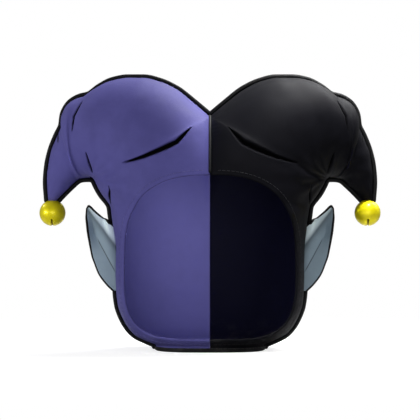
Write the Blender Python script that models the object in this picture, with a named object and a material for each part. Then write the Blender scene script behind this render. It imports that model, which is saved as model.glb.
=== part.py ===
"""A two-horned jester's hood: two cloth halves with a drooping horn each, piped seams, a bound hem,
sewn-on pointed ears and jingle bells. Metres, +Z up, the face looks along -Y, and x = 0 is the centre seam."""

import math
from collections import namedtuple

import bpy
from mathutils import Vector

# Cloth
WALL = 0.0025
SHARP_ANGLE = 50
SEAT_GAP = 0.0003
HALF_COLUMNS = 10

# Hood, measured to the outside of the cloth. Depths run from the side seams' plane.
HOOD_HALF_WIDTH = 0.0935
FRONT_DEPTH = 0.092
BACK_DEPTH = 0.106
BROW_DEPTH = 0.0865
SPRING_HEIGHT = 0.120
CROWN_TOP = 0.2325
HOOD_SQUARENESS = 2.8

# Face opening, as it is seen from the front
OPENING_HALF_WIDTH = 0.0857
OPENING_TOP = 0.1745
OPENING_WAIST = 0.090
OPENING_BOTTOM = 0.0115
OPENING_ARCH_POWER = 2.6
OPENING_JAW_POWER = 3.9
RIM_SNAP = 0.22

# Horns
ARMPIT_OUT = 0.117
ARMPIT_HEIGHT = 0.1705
HORN_TOP = 0.271
HORN_REACH = 0.163
TIP_HEIGHT = 0.1503
TIP_WIDTH = 0.0084
HORN_SQUARENESS = 2.15
HORN_PEAK = 0.47
FOLD_DEPTH = 0.005
FOLD_SPREAD = 0.35
FOLD_TAPER = 1.5
BACK_FOLD_SHARE = 0.4

# Piping, hem binding and centre seam cord
PIPING_RADIUS = 0.002
CENTRE_CORD_RADIUS = 0.0015
CORD_GAP = 0.0005
HORN_CORD_START = 0.0055
CORD_SIDES = 6
BINDING_WALL = 0.001
BINDING_HEIGHT = 0.0043

# Ears
EAR_BOTTOM = 0.0600
EAR_TOP = 0.1415
EAR_REACH = 0.0245
EAR_SWEEP = 0.012
EAR_CUP = 0.006
EAR_LEAN = 0.012
EAR_LEAN_START = 0.2
EAR_RIDGE_FOOT = 0.099
EAR_THICKNESS = 0.0028
EAR_EDGING_RADIUS = 0.0012

# Bells
BELL_RADIUS = 0.013
BELL_WALL = 0.0009
BELL_OUT = 0.1575
BELL_GAP = 0.0006
BELL_SLOT_WIDTH = 0.0024
BELL_HOLE_SHARE = 0.9
BELL_SLOT_END = 62
BELL_TOP_ANGLE = 167
PELLET_RADIUS = 0.003

# The side seams lie in this plane, so that the whole hat is centred on the origin.
SEAM_Y = (BROW_DEPTH - BACK_DEPTH - 2 * CENTRE_CORD_RADIUS - CORD_GAP) / 2
HEM_HEIGHT = BINDING_WALL + SEAT_GAP
# The ear's root passes just in front of the side cord.
EAR_ROOT_Y = SEAM_Y - PIPING_RADIUS - CORD_GAP - EAR_THICKNESS - SEAT_GAP
SPRING_SIDE = 1.027
TIP_OUT = HORN_REACH * 0.9925

# Hood sections from the hem up. up: share of the height from hem to spring; wide: share of
# HOOD_HALF_WIDTH; front and back: shares of FRONT_DEPTH and BACK_DEPTH.
HoodRow = namedtuple("HoodRow", "up wide front back")
HOOD_ROWS = [
    HoodRow(0.000, 0.578, 0.650, 0.620),
    HoodRow(0.031, 0.578, 0.650, 0.620),
    HoodRow(0.069, 0.679, 0.715, 0.690),
    HoodRow(0.115, 0.797, 0.785, 0.760),
    HoodRow(0.175, 0.872, 0.845, 0.820),
    HoodRow(0.242, 0.924, 0.890, 0.870),
    HoodRow(0.367, 0.982, 0.945, 0.930),
    HoodRow(0.500, 1.000, 0.975, 0.970),
    HoodRow(0.660, 1.002, 0.992, 0.992),
    HoodRow(0.830, 1.003, 1.000, 1.000),
    HoodRow(1.000, SPRING_SIDE, 1.000, 0.998),
]

# Crown sections, which fan from the side up to the valley between the horns. side_out and side_up:
# shares of the way from the spring's side to the armpit; centre_up: share of the way from the spring
# to the crown's top; front and back: shares of the reaches; peak: where along the row it is deepest.
CrownRow = namedtuple("CrownRow", "side_out side_up centre_up front back peak fold")
CROWN_ROWS = [
    CrownRow(0.10, 0.26, 0.142, 0.995, 0.990, 0.03, 0.0),
    CrownRow(0.17, 0.46, 0.284, 0.973, 0.970, 0.07, 0.0),
    CrownRow(0.31, 0.56, 0.427, 0.957, 0.945, 0.14, 0.0),
    CrownRow(0.45, 0.63, 0.569, 0.935, 0.915, 0.22, 0.0),
    CrownRow(0.58, 0.70, 0.702, 0.913, 0.885, 0.30, 0.0),
    CrownRow(0.70, 0.78, 0.827, 0.891, 0.855, 0.37, -0.2),
    CrownRow(0.80, 0.86, 0.924, 0.875, 0.830, 0.42, -0.1),
    CrownRow(0.84, 0.89, 0.972, 0.862, 0.820, 0.44, 0.0),
    CrownRow(0.87, 0.92, 0.993, 0.850, 0.812, 0.45, 0.0),
    CrownRow(0.89, 0.94, 1.000, 0.840, 0.805, 0.46, 1.0),
]

# Horn sections from the crown to the bell. under_out: share of the way from the armpit to the tip;
# under_up: share of the height from tip to armpit; top_out: share of HORN_REACH; top_up: share of the
# height from tip to horn top; front and back: shares of the section's own span; bow: how far the
# section curves towards the tip, as a share of its span; fold: share of FOLD_DEPTH.
HornRow = namedtuple("HornRow", "under_out under_up top_out top_up front back bow fold")
HORN_ROWS = [
    HornRow(-0.040, 0.93, 0.098, 0.797, 0.600, 0.655, 0.00, -0.25),
    HornRow(-0.025, 0.97, 0.207, 0.909, 0.590, 0.640, 0.01, 0.0),
    HornRow(-0.012, 0.99, 0.307, 0.971, 0.575, 0.620, 0.02, 0.0),
    HornRow(0.004, 1.01, 0.405, 1.000, 0.555, 0.600, 0.04, 0.0),
    HornRow(0.026, 1.03, 0.503, 1.000, 0.535, 0.575, 0.07, 0.0),
    HornRow(0.053, 1.04, 0.595, 0.979, 0.520, 0.550, 0.11, 0.0),
    HornRow(0.090, 1.05, 0.675, 0.926, 0.505, 0.530, 0.15, -0.2),
    HornRow(0.137, 1.05, 0.745, 0.860, 0.480, 0.500, 0.20, 0.6),
    HornRow(0.192, 1.05, 0.798, 0.842, 0.500, 0.515, 0.17, -0.1),
    HornRow(0.260, 1.04, 0.860, 0.790, 0.505, 0.515, 0.12, -0.1),
    HornRow(0.328, 1.02, 0.898, 0.695, 0.500, 0.510, 0.08, 0.0),
    HornRow(0.397, 0.98, 0.906, 0.615, 0.485, 0.495, 0.06, 0.5),
    HornRow(0.465, 0.90, 0.935, 0.532, 0.500, 0.505, 0.04, -0.1),
    HornRow(0.575, 0.73, 0.972, 0.405, 0.505, 0.505, 0.02, 0.0),
    HornRow(0.712, 0.51, 0.993, 0.275, 0.505, 0.505, 0.01, 0.0),
    HornRow(0.863, 0.25, 1.000, 0.148, 0.500, 0.500, 0.00, 0.0),
    HornRow(1.000, 0.00, 0.9925, 0.000, 0.500, 0.500, 0.00, 0.0),
]

# Ear rows from the bottom up. up: share of the ear's height; inner and outer: shares of EAR_REACH from
# the root; crease: share of the row at which the ear is folded.
EarRow = namedtuple("EarRow", "up inner outer crease")
EAR_ROWS = [
    EarRow(0.00, 0.00, 0.08, 0.50),
    EarRow(0.08, 0.00, 0.35, 0.35),
    EarRow(0.20, 0.00, 0.65, 0.20),
    EarRow(0.31, 0.00, 0.80, 0.27),
    EarRow(0.43, 0.00, 0.93, 0.47),
    EarRow(0.57, 0.00, 0.985, 0.70),
    EarRow(0.70, 0.00, 0.995, 0.82),
    EarRow(0.75, 0.00, 0.99, 0.82),
    EarRow(0.81, 0.26, 0.98, 0.78),
    EarRow(0.88, 0.53, 0.97, 0.70),
    EarRow(0.94, 0.75, 0.92, 0.60),
    EarRow(1.00, 0.82, 0.87, 0.50),
]

# A section: side and top are (x, z) ends of the row; front and back its greatest depths; top_front
# and top_back its depths at the centre seam, 0 where the row is a closed ring.
Section = namedtuple("Section", "side top front back top_front top_back peak square bow fold")


def between(low, high, share):
    return low + (high - low) * share


def hood_sections():
    """The D-shaped sections of one half, from the hem to the spring of the crown."""
    made = []
    for row in HOOD_ROWS:
        height = between(HEM_HEIGHT, SPRING_HEIGHT, row.up)
        front = row.front * FRONT_DEPTH
        back = row.back * BACK_DEPTH
        made.append(Section((row.wide * HOOD_HALF_WIDTH, height), (0.0, height), front, back,
                            front, back, 0.0, HOOD_SQUARENESS, 0.0, 0.0))
    return made


def crown_sections():
    """The sections that fan up from the side until the two halves part in the valley."""
    spring_out = SPRING_SIDE * HOOD_HALF_WIDTH
    made = []
    for number, row in enumerate(CROWN_ROWS, 1):
        side = (between(spring_out, ARMPIT_OUT, row.side_out),
                between(SPRING_HEIGHT, ARMPIT_HEIGHT, row.side_up))
        top = (0.0, between(SPRING_HEIGHT, CROWN_TOP, row.centre_up))
        arch = math.sqrt(max(0.0, 1 - row.centre_up ** 2))
        square = between(HOOD_SQUARENESS, HORN_SQUARENESS, number / len(CROWN_ROWS))
        made.append(Section(side, top, row.front * FRONT_DEPTH, row.back * BACK_DEPTH,
                            arch * FRONT_DEPTH, arch * BACK_DEPTH, row.peak, square, 0.0, row.fold))
    return made


def horn_sections():
    """The closed rings of one horn, from the valley to the bell."""
    tip_inner = TIP_OUT - TIP_WIDTH
    made = []
    for row in HORN_ROWS:
        side = (between(ARMPIT_OUT, tip_inner, row.under_out),
                between(TIP_HEIGHT, ARMPIT_HEIGHT, row.under_up))
        top = (row.top_out * HORN_REACH, between(TIP_HEIGHT, HORN_TOP, row.top_up))
        span = math.dist(side, top)
        made.append(Section(side, top, row.front * span, row.back * span, 0.0, 0.0, HORN_PEAK,
                            HORN_SQUARENESS, row.bow * span, row.fold))
    return made


def all_sections():
    """Every section of one half in order, with two more beside each fold so that it stays narrow."""
    main = hood_sections() + crown_sections() + horn_sections()
    made = [main[0]]
    for before, after in zip(main, main[1:]):
        if after.fold > FOLD_SPREAD:
            made.append(blended(before, after, 1 - FOLD_SPREAD))
        if before.fold > FOLD_SPREAD:
            made.append(blended(before, after, FOLD_SPREAD))
        made.append(after)
    return made


def blended(low, high, share):
    """An unfolded section that lies between two others."""
    mixed = []
    for first, second in zip(low, high):
        if isinstance(first, tuple):
            mixed.append(tuple(between(a, b, share) for a, b in zip(first, second)))
        else:
            mixed.append(between(first, second, share))
    return Section(*mixed)._replace(fold=min(low.fold, high.fold, 0.0))


def half_ring(section, direction):
    """One face of a section, from its top end to its side end. direction is -1 for the front."""
    depth, top_depth = ((section.front, section.top_front) if direction < 0
                        else (section.back, section.top_back))
    power = section.square
    kept = min(1.0, top_depth / depth)
    reach = max(0.0, 1 - kept ** power) ** (1 / power)
    first_angle = math.atan2(reach, kept) if reach > 0 else 0.0
    stretch = section.peak / reach if reach > 0 else 0.0
    chord = Vector(section.side) - Vector(section.top)
    across = Vector((-chord.y, chord.x)).normalized()
    folded = section.fold * FOLD_DEPTH * (1 if direction < 0 else BACK_FOLD_SHARE)
    points = []
    for column in range(HALF_COLUMNS + 1):
        angle = between(-first_angle, math.pi / 2, column / HALF_COLUMNS)
        sine, cosine = math.sin(angle), max(0.0, math.cos(angle))
        radius = (abs(sine) ** power + cosine ** power) ** (-1 / power)
        lever = stretch if angle < 0 else 1 - section.peak
        along = section.peak + lever * radius * sine
        swell = radius * cosine
        window = math.sin(math.pi * min(1.0, max(0.0, along))) ** FOLD_TAPER
        place = Vector(section.top) + chord * along + across * section.bow * swell
        out = max(0.0, depth * swell - folded * window)
        points.append(Vector((place.x, SEAM_Y + direction * out, place.y)))
    return points


def opening_field(point):
    """Below 0 where a point lies inside the face opening, as it is seen from the front."""
    if point.y > SEAM_Y:
        return 1.0
    rise = point.z - OPENING_WAIST
    height, power = ((OPENING_TOP - OPENING_WAIST, OPENING_ARCH_POWER) if rise > 0
                     else (OPENING_WAIST - OPENING_BOTTOM, OPENING_JAW_POWER))
    total = (abs(point.x) / OPENING_HALF_WIDTH) ** power + (abs(rise) / height) ** power
    return total ** (1 / power) - 1


def rim_share(low, high):
    """How far along the line from low to high the edge of the face opening lies."""
    inside_low = opening_field(low) < 0
    start, end = 0.0, 1.0
    for _ in range(30):
        middle = (start + end) / 2
        if (opening_field(low.lerp(high, middle)) < 0) == inside_low:
            start = middle
        else:
            end = middle
    return (start + end) / 2


def cut_opening(points, faces):
    """Cuts the face opening out of the sheet, and moves near corners onto its edge to avoid slivers."""
    edges = sorted({tuple(sorted((face[i], face[i - 1]))) for face in faces for i in range(len(face))})
    field = [opening_field(point) for point in points]
    near = RIM_SNAP
    for low, high in edges:
        if field[low] * field[high] < 0:
            share = rim_share(points[low], points[high])
            moved, other = (low, high) if share < 0.5 else (high, low)
            in_seam = points[moved].x <= SEAT_GAP / 2 < points[other].x
            if min(share, 1 - share) < near and not in_seam:
                points[moved] = points[low].lerp(points[high], share)
                field[moved] = 0.0
    crossings = {}

    def crossing(low, high):
        key = (min(low, high), max(low, high))
        if key not in crossings:
            share = rim_share(points[key[0]], points[key[1]])
            points.append(points[key[0]].lerp(points[key[1]], share))
            crossings[key] = len(points) - 1
        return crossings[key]

    kept = []
    for face in faces:
        if min(field[i] for i in face) >= 0:
            kept.append(face)
            continue
        if max(field[i] for i in face) <= 0:
            continue
        outline = []
        for index, corner in enumerate(face):
            following = face[(index + 1) % len(face)]
            if field[corner] >= 0:
                outline.append(corner)
            if field[corner] * field[following] < 0:
                outline.append(crossing(corner, following))
        if len(outline) > 2:
            kept.append(outline)
    return points, kept


def half_sheet():
    """The outer face of one half as points and faces, and the rows of point numbers that made it."""
    points, rows = [], []
    for section in all_sections():
        front = half_ring(section, -1)
        back = half_ring(section, 1)
        ring = front + back[-2::-1]
        if section.top_front == 0:
            ring.pop()
        numbers = list(range(len(points), len(points) + len(ring)))
        if section.top_front == 0:
            numbers.append(numbers[0])
        points += ring
        rows.append(numbers)
    faces = []
    for low, high in zip(rows, rows[1:]):
        for column in range(2 * HALF_COLUMNS):
            face = [low[column], low[column + 1], high[column + 1], high[column]]
            faces.append([n for i, n in enumerate(face) if n != face[i - 1]])
    tip = rows[-1][:-1]
    points.append(sum((points[n] for n in tip), Vector()) / len(tip))
    centre = len(points) - 1
    faces += [[tip[i - 1], tip[i], centre] for i in range(len(tip))]
    for point in points:
        point.x = max(point.x, SEAT_GAP / 2)
    return points, faces, rows


def point_normals(points, faces):
    """Normals of the sheet's points, kept in the plane of the centre seam and of the hem."""
    normals = [Vector() for _ in points]
    for face in faces:
        area = Vector()
        for index in range(1, len(face) - 1):
            area += (points[face[index]] - points[face[0]]).cross(points[face[index + 1]] - points[face[0]])
        for number in face:
            normals[number] += area
    for number, point in enumerate(points):
        if point.x <= SEAT_GAP / 2:
            normals[number].x = 0.0
        if point.z <= HEM_HEIGHT:
            normals[number].z = 0.0
        normals[number].normalize()
    return normals


def triangles(points, faces):
    """The same faces cut into triangles, four-sided ones along their shorter diagonal."""
    made = []
    for face in faces:
        turn = 0
        if len(face) == 4:
            first = (points[face[0]] - points[face[2]]).length
            turn = 0 if first <= (points[face[1]] - points[face[3]]).length else 1
        corners = face[turn:] + face[:turn]
        made += [[corners[0], corners[i], corners[i + 1]] for i in range(1, len(corners) - 1)]
    return made


def thicken(points, faces, depth, seamed=False):
    """A closed wall of that depth behind a sheet whose faces look outwards. A seamed one also keeps its
    inner face on its own side of the centre seam."""
    normals = point_normals(points, faces)
    used = sorted({number for face in faces for number in face})
    place = {number: index for index, number in enumerate(used)}
    outer = [points[number] for number in used]
    inner = [points[number] - normals[number] * depth for number in used]
    if seamed:
        for behind in inner:
            behind.x = max(behind.x, SEAT_GAP / 2)
    count = len(used)
    faces = triangles(points, faces)
    solid = [[place[n] for n in face] for face in faces]
    solid += [[place[n] + count for n in reversed(face)] for face in faces]
    directed = {(face[i - 1], face[i]) for face in faces for i in range(len(face))}
    for start, end in sorted(directed):
        if (end, start) not in directed:
            a, b = place[start], place[end]
            solid.append([b, a, a + count, b + count])
    return outer + inner, solid


def material(name, colour, roughness, metallic=0.0):
    made = bpy.data.materials.new(name)
    made.use_nodes = True
    shader = made.node_tree.nodes["Principled BSDF"]
    shader.inputs["Base Color"].default_value = (*colour, 1.0)
    shader.inputs["Roughness"].default_value = roughness
    shader.inputs["Metallic"].default_value = metallic
    made.diffuse_color = (*colour, 1.0)
    return made


def mesh_object(name, points, faces, finish, mirrored=False):
    """A named object from points and faces, mirrored to the wearer's other side where asked."""
    sign = -1 if mirrored else 1
    faces = triangles(points, faces)
    mesh = bpy.data.meshes.new(name)
    mesh.from_pydata([(sign * p[0], p[1], p[2]) for p in points], [],
                     [face[::-1] for face in faces] if mirrored else faces)
    mesh.materials.append(finish)
    mesh.shade_smooth()
    mesh.set_sharp_from_angle(angle=math.radians(SHARP_ANGLE))
    made = bpy.data.objects.new(name, mesh)
    bpy.context.scene.collection.objects.link(made)
    return made


def tube(path, radius, sides=CORD_SIDES):
    """A round cord along a path, with closed ends, as points and faces."""
    count = len(path)
    points, faces = [], []
    across = None
    for index, place in enumerate(path):
        ahead = (path[min(index + 1, count - 1)] - path[max(index - 1, 0)]).normalized()
        across = ahead.orthogonal() if across is None else across - ahead * across.dot(ahead)
        across.normalize()
        beside = ahead.cross(across)
        for side in range(sides):
            angle = 2 * math.pi * side / sides
            points.append(place + (across * math.cos(angle) + beside * math.sin(angle)) * radius)
    for index in range(count - 1):
        for side in range(sides):
            near = index * sides + side
            beyond = index * sides + (side + 1) % sides
            faces.append([near, beyond, beyond + sides, near + sides])
    faces.append(list(range(sides))[::-1])
    faces.append([(count - 1) * sides + side for side in range(sides)])
    return points, faces


def ring_tube(rings):
    """A closed band through matching rings of points, the last ring joined to the first."""
    size = len(rings[0])
    points = [point for ring in rings for point in ring]
    faces = []
    for index in range(len(rings)):
        following = (index + 1) % len(rings)
        for corner in range(size):
            turned = (corner + 1) % size
            faces.append([index * size + corner, following * size + corner,
                          following * size + turned, index * size + turned])
    return points, faces


def beside_seam(edge, cores, distance, banks=None):
    """The path that runs that distance outside a seam. Cores lie on its inner side, and banks on the
    cloth beside it, which may rise like the sides of a groove."""
    path = []
    for index, point in enumerate(edge):
        along = (edge[min(len(edge) - 1, index + 1)] - edge[max(0, index - 1)]).normalized()
        out = point - cores[index]
        out = (out - along * out.dot(along)).normalized()
        raised = 1.0
        if banks is not None:
            bank = banks[index] - point
            bank -= along * bank.dot(along)
            rise = max(0.0, bank.dot(out))
            raised = math.hypot(1.0, rise / (bank - out * bank.dot(out)).length)
        path.append(point + out * distance * raised)
    return path


def short_of_bell(path, radius):
    """The same path, its far end drawn back until a cord on it clears the bell."""
    centre = Vector((BELL_OUT, SEAM_Y, TIP_HEIGHT - BELL_GAP - BELL_RADIUS))
    clear = BELL_RADIUS + radius + CORD_GAP
    start, end = path[-2], path[-1]
    steps = 20
    share = next((s for s in range(steps, 0, -1)
                  if (start.lerp(end, s / steps) - centre).length > clear), 0)
    return path[:-1] + [start.lerp(end, share / steps)]


def cut_above(path, height):
    """The same path without what lies below a height; the end that is cut lies exactly there."""
    kept = []
    for before, after in zip(path, path[1:]):
        if before.z > height:
            kept.append(before)
        if min(before.z, after.z) < height < max(before.z, after.z):
            kept.append(before.lerp(after, (height - before.z) / (after.z - before.z)))
    if path[-1].z > height:
        kept.append(path[-1])
    return kept


def seam_paths():
    """The paths of the horn cord, the side cord and the centre cord."""
    sections = all_sections()
    reach = PIPING_RADIUS + CORD_GAP
    side = [Vector((s.side[0], SEAM_Y, s.side[1])) for s in sections]
    top = [Vector((s.top[0], SEAM_Y, s.top[1])) for s in sections]
    horn_first = next(i for i, s in enumerate(sections) if s.top_front == 0)
    horn_path = beside_seam(top[horn_first:], side[horn_first:], reach)
    first = next(i for i, point in enumerate(horn_path) if point.x > HORN_CORD_START)
    before, after = horn_path[first - 1], horn_path[first]
    start = before.lerp(after, (HORN_CORD_START - before.x) / (after.x - before.x))
    side_path = beside_seam(side, top, reach)
    lowest = BINDING_HEIGHT + SEAT_GAP
    side_path = short_of_bell(cut_above(side_path, lowest), PIPING_RADIUS)
    horn_path = short_of_bell([start] + horn_path[first:], PIPING_RADIUS)

    front, back, cores, front_banks, back_banks = [], [], [], [], []
    for section in sections[:horn_first]:
        height = section.top[1]
        front.append(Vector((0.0, SEAM_Y - section.top_front, height)))
        back.append(Vector((0.0, SEAM_Y + section.top_back, height)))
        cores.append(Vector((0.0, SEAM_Y, min(height, SPRING_HEIGHT))))
        front_banks.append(half_ring(section, -1)[1])
        back_banks.append(half_ring(section, 1)[1])
    rim_index = next(i for i, point in enumerate(front) if point.z > OPENING_TOP)
    share = (OPENING_TOP - front[rim_index - 1].z) / (front[rim_index].z - front[rim_index - 1].z)
    rim = front[rim_index - 1].lerp(front[rim_index], share)
    seam = [rim] + front[rim_index:] + [top[horn_first]] + back[::-1]
    inner = [cores[-1]] * (len(front) - rim_index + 2) + cores[::-1]
    valley_bank = half_ring(sections[horn_first + 1], -1)[0]
    banks = [front_banks[rim_index]] + front_banks[rim_index:] + [valley_bank] + back_banks[::-1]
    centre_path = beside_seam(seam, inner, CENTRE_CORD_RADIUS + CORD_GAP, banks)
    return horn_path, side_path, cut_above(centre_path, lowest)


def hem_band():
    """The folded tape round the hem, open at the top, flat underneath."""
    row = hood_sections()[0]
    front, back = half_ring(row, -1), half_ring(row, 1)
    half = front + back[-2::-1]
    ring = half[:-1] + [Vector((-p.x, p.y, p.z)) for p in half[:0:-1]]
    profile = [(-WALL - SEAT_GAP - BINDING_WALL, 0.0), (SEAT_GAP + BINDING_WALL, 0.0),
               (SEAT_GAP + BINDING_WALL, BINDING_HEIGHT), (SEAT_GAP, BINDING_HEIGHT),
               (SEAT_GAP, BINDING_WALL), (-WALL - SEAT_GAP, BINDING_WALL),
               (-WALL - SEAT_GAP, BINDING_HEIGHT), (-WALL - SEAT_GAP - BINDING_WALL, BINDING_HEIGHT)]
    rings = []
    for index, point in enumerate(ring):
        along = ring[(index + 1) % len(ring)] - ring[index - 1]
        out = Vector((-along.y, along.x, 0.0)).normalized()
        if out.dot(point - Vector((0.0, SEAM_Y, point.z))) < 0:
            out = -out
        rings.append([Vector((point.x + out.x * across, point.y + out.y * across, height))
                      for across, height in profile])
    return ring_tube(rings)


def hood_side(height):
    """How far out the cloth of the side seam lies at a height."""
    sides = [section.side for section in hood_sections()] + [crown_sections()[0].side]
    for low, high in zip(sides, sides[1:]):
        if low[1] <= height <= high[1]:
            return between(low[0], high[0], (height - low[1]) / (high[1] - low[1]))
    return sides[-1][0]


def ear_sheet():
    """The front face of an ear, row by row from the bottom of its root to its tip. Above a ridge that
    runs from the root up to the tip, the ear leans backwards."""
    tip = EAR_ROWS[-1].outer
    rows = []
    for row in EAR_ROWS:
        height = between(EAR_BOTTOM, EAR_TOP, row.up)
        root = hood_side(height) + SEAT_GAP
        inner = root + row.inner * EAR_REACH
        outer = root + row.outer * EAR_REACH
        line = []
        for share in (0.0, row.crease / 2, row.crease, (1 + row.crease) / 2, 1.0):
            out = between(inner, outer, share)
            gone = (out - root) / EAR_REACH
            to_edge = share / row.crease if share < row.crease else (1 - share) / (1 - row.crease)
            cupped = EAR_CUP * (outer - inner) / EAR_REACH * (1 - to_edge) * gone
            above = (height - between(EAR_RIDGE_FOOT, EAR_TOP, gone / tip)) / (EAR_TOP - EAR_RIDGE_FOOT)
            free = min(1.0, max(0.0, gone - EAR_LEAN_START) / EAR_LEAN_START)
            lean = EAR_LEAN * max(0.0, above) * free
            y = EAR_ROOT_Y + EAR_SWEEP * gone ** 2 - cupped + lean
            line.append(Vector((out, y, height)))
        rows.append(line)
    width = len(rows[0])
    points = [point for line in rows for point in line]
    faces = []
    for row in range(len(rows) - 1):
        for column in range(width - 1):
            low = row * width + column
            faces.append([low, low + 1, low + width + 1, low + width])
    return points, faces, rows


def ear_edge_path():
    """The path of the cord that edges an ear, from the bottom of the root over the tip to its top."""
    points, faces, rows = ear_sheet()
    middle = {}
    for number, (point, normal) in enumerate(zip(points, point_normals(points, faces))):
        middle[number] = point - normal * EAR_THICKNESS / 2
    width = len(rows[0])
    count = len(rows)
    free = next(i for i, row in enumerate(EAR_ROWS) if row.inner > 0)
    outer = [(row * width + width - 1, row * width + width - 2) for row in range(count)]
    upper = [(row * width, row * width + 1) for row in range(count - 1, free - 1, -1)]
    path = beside_seam([middle[edge] for edge, _ in outer + upper],
                       [middle[core] for _, core in outer + upper], EAR_EDGING_RADIUS + CORD_GAP)
    return path


def bell_shell():
    """A hollow ball with a cross of slots underneath, round its own centre."""
    quarter = math.pi / 2
    slot_start = math.asin(BELL_HOLE_SHARE * BELL_SLOT_WIDTH / BELL_RADIUS)
    slot_end = math.radians(BELL_SLOT_END)
    angles = [between(slot_start, slot_end, step / 4) for step in range(5)]
    angles += [between(slot_end, math.radians(BELL_TOP_ANGLE), step / 5) for step in range(1, 6)]
    points, faces = [], []
    for angle in angles:
        level = max(BELL_RADIUS * math.sin(min(angle, slot_end)), 1e-6)
        half_slot = math.asin(min(1.0, BELL_SLOT_WIDTH / 2 / level))
        for turn in range(4):
            for step in range(4):
                about = quarter * turn + between(half_slot, quarter - half_slot, step / 3)
                points.append(Vector((math.cos(about) * math.sin(angle), math.sin(about) * math.sin(angle),
                                      -math.cos(angle))) * BELL_RADIUS)
    for level in range(len(angles) - 1):
        for column in range(16):
            if level < 4 and column % 4 == 3:
                continue
            low = level * 16 + column
            beside = level * 16 + (column + 1) % 16
            faces.append([low, beside, beside + 16, low + 16])
    crown = list(range((len(angles) - 1) * 16, len(angles) * 16))
    faces.append(crown)
    return thicken(points, faces, BELL_WALL)


def pellet_drop():
    """How far below the bell's centre the pellet comes to rest, on the rim of the hole in the slots."""
    inside = BELL_RADIUS - BELL_WALL
    hole = BELL_HOLE_SHARE * BELL_SLOT_WIDTH * inside / BELL_RADIUS
    return math.sqrt(inside ** 2 - hole ** 2) - math.sqrt((PELLET_RADIUS + SEAT_GAP) ** 2 - hole ** 2)


def ball(radius, columns=8, levels=6):
    """A small solid ball round its own centre."""
    points, faces = [Vector((0, 0, -radius))], []
    for level in range(1, levels):
        angle = math.pi * level / levels
        for column in range(columns):
            about = 2 * math.pi * column / columns
            points.append(Vector((math.cos(about) * math.sin(angle), math.sin(about) * math.sin(angle),
                                  -math.cos(angle))) * radius)
    points.append(Vector((0, 0, radius)))
    for column in range(columns):
        beside = (column + 1) % columns
        faces.append([0, 1 + beside, 1 + column])
        for level in range(levels - 2):
            low = 1 + level * columns
            faces.append([low + column, low + beside, low + columns + beside, low + columns + column])
        top = 1 + (levels - 2) * columns
        faces.append([top + column, top + beside, len(points) - 1])
    return points, faces


def moved(shape, place):
    points, faces = shape
    return [point + place for point in points], faces


def build():
    for old in list(bpy.data.objects):
        bpy.data.objects.remove(old)
    purple = material("felt_purple", (0.098, 0.092, 0.300), 0.85)
    black = material("felt_black", (0.006, 0.006, 0.009), 0.85)
    trim = material("trim_black", (0.004, 0.004, 0.005), 0.7)
    grey_blue = material("felt_grey_blue", (0.330, 0.430, 0.520), 0.85)
    gold = material("bell_gold", (0.780, 0.610, 0.020), 0.3, 1.0)

    points, faces, _ = half_sheet()
    shell = thicken(*cut_opening(points, faces), WALL, seamed=True)
    horn_path, side_path, centre_path = seam_paths()
    ear_points, ear_faces, _ = ear_sheet()
    ear = thicken(ear_points, ear_faces, EAR_THICKNESS)
    bell_place = Vector((BELL_OUT, SEAM_Y, TIP_HEIGHT - BELL_GAP - BELL_RADIUS))
    pellet_place = bell_place - Vector((0, 0, pellet_drop()))

    for colour, side, cloth, mirrored in (("purple", "right", purple, True), ("black", "left", black, False)):
        mesh_object(f"hood_{colour}", *shell, cloth, mirrored)
        mesh_object(f"horn_piping_{side}", *tube(horn_path, PIPING_RADIUS), trim, mirrored)
        mesh_object(f"side_piping_{side}", *tube(side_path, PIPING_RADIUS), trim, mirrored)
        mesh_object(f"ear_{side}", *ear, grey_blue, mirrored)
        mesh_object(f"ear_piping_{side}", *tube(ear_edge_path(), EAR_EDGING_RADIUS), trim, mirrored)
        across = Vector((-2 * BELL_OUT if mirrored else 0.0, 0.0, 0.0))
        mesh_object(f"bell_{side}", *moved(bell_shell(), bell_place + across), gold)
        mesh_object(f"bell_pellet_{side}", *moved(ball(PELLET_RADIUS), pellet_place + across), gold)
    mesh_object("seam_piping_centre", *tube(centre_path, CENTRE_CORD_RADIUS), trim)
    mesh_object("hem_binding", *hem_band(), trim)


build()
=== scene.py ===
# %% [markdown]
# # Dressing a jester's hood
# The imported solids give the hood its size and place. This lesson covers them with what the eye wants:
# smooth cloth with folds and a nap, corded seams, a bound hem, stitches, cupped ears and brass bells.
# Everything is in metres, +Z is up, and the face looks along -Y.

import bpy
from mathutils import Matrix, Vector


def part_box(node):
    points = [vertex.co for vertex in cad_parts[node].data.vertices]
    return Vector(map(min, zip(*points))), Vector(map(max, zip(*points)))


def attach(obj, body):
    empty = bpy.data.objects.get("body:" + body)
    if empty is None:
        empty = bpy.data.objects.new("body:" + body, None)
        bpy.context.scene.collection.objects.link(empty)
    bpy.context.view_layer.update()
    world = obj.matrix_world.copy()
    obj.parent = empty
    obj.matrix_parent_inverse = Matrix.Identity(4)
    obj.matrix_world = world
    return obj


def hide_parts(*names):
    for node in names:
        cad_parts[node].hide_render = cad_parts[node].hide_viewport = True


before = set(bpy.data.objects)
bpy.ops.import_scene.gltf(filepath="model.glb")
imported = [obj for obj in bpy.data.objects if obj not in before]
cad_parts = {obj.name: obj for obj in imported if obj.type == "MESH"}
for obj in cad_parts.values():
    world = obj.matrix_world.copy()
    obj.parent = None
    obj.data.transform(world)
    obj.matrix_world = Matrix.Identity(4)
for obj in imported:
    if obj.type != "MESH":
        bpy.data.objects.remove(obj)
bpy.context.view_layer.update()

# %% Other imports
import math
from collections import namedtuple

import bmesh
import bpy
import numpy as np
from mathutils import Vector, noise
from mathutils.bvhtree import BVHTree

# %% [markdown]
# ## Sizes that come from the solids
# A piece that is worked out from the frame stays where the frame is. The side seams lie in one plane, so
# the side cord gives that plane; the bell, the hem tape and the cloth give their own places.

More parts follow.
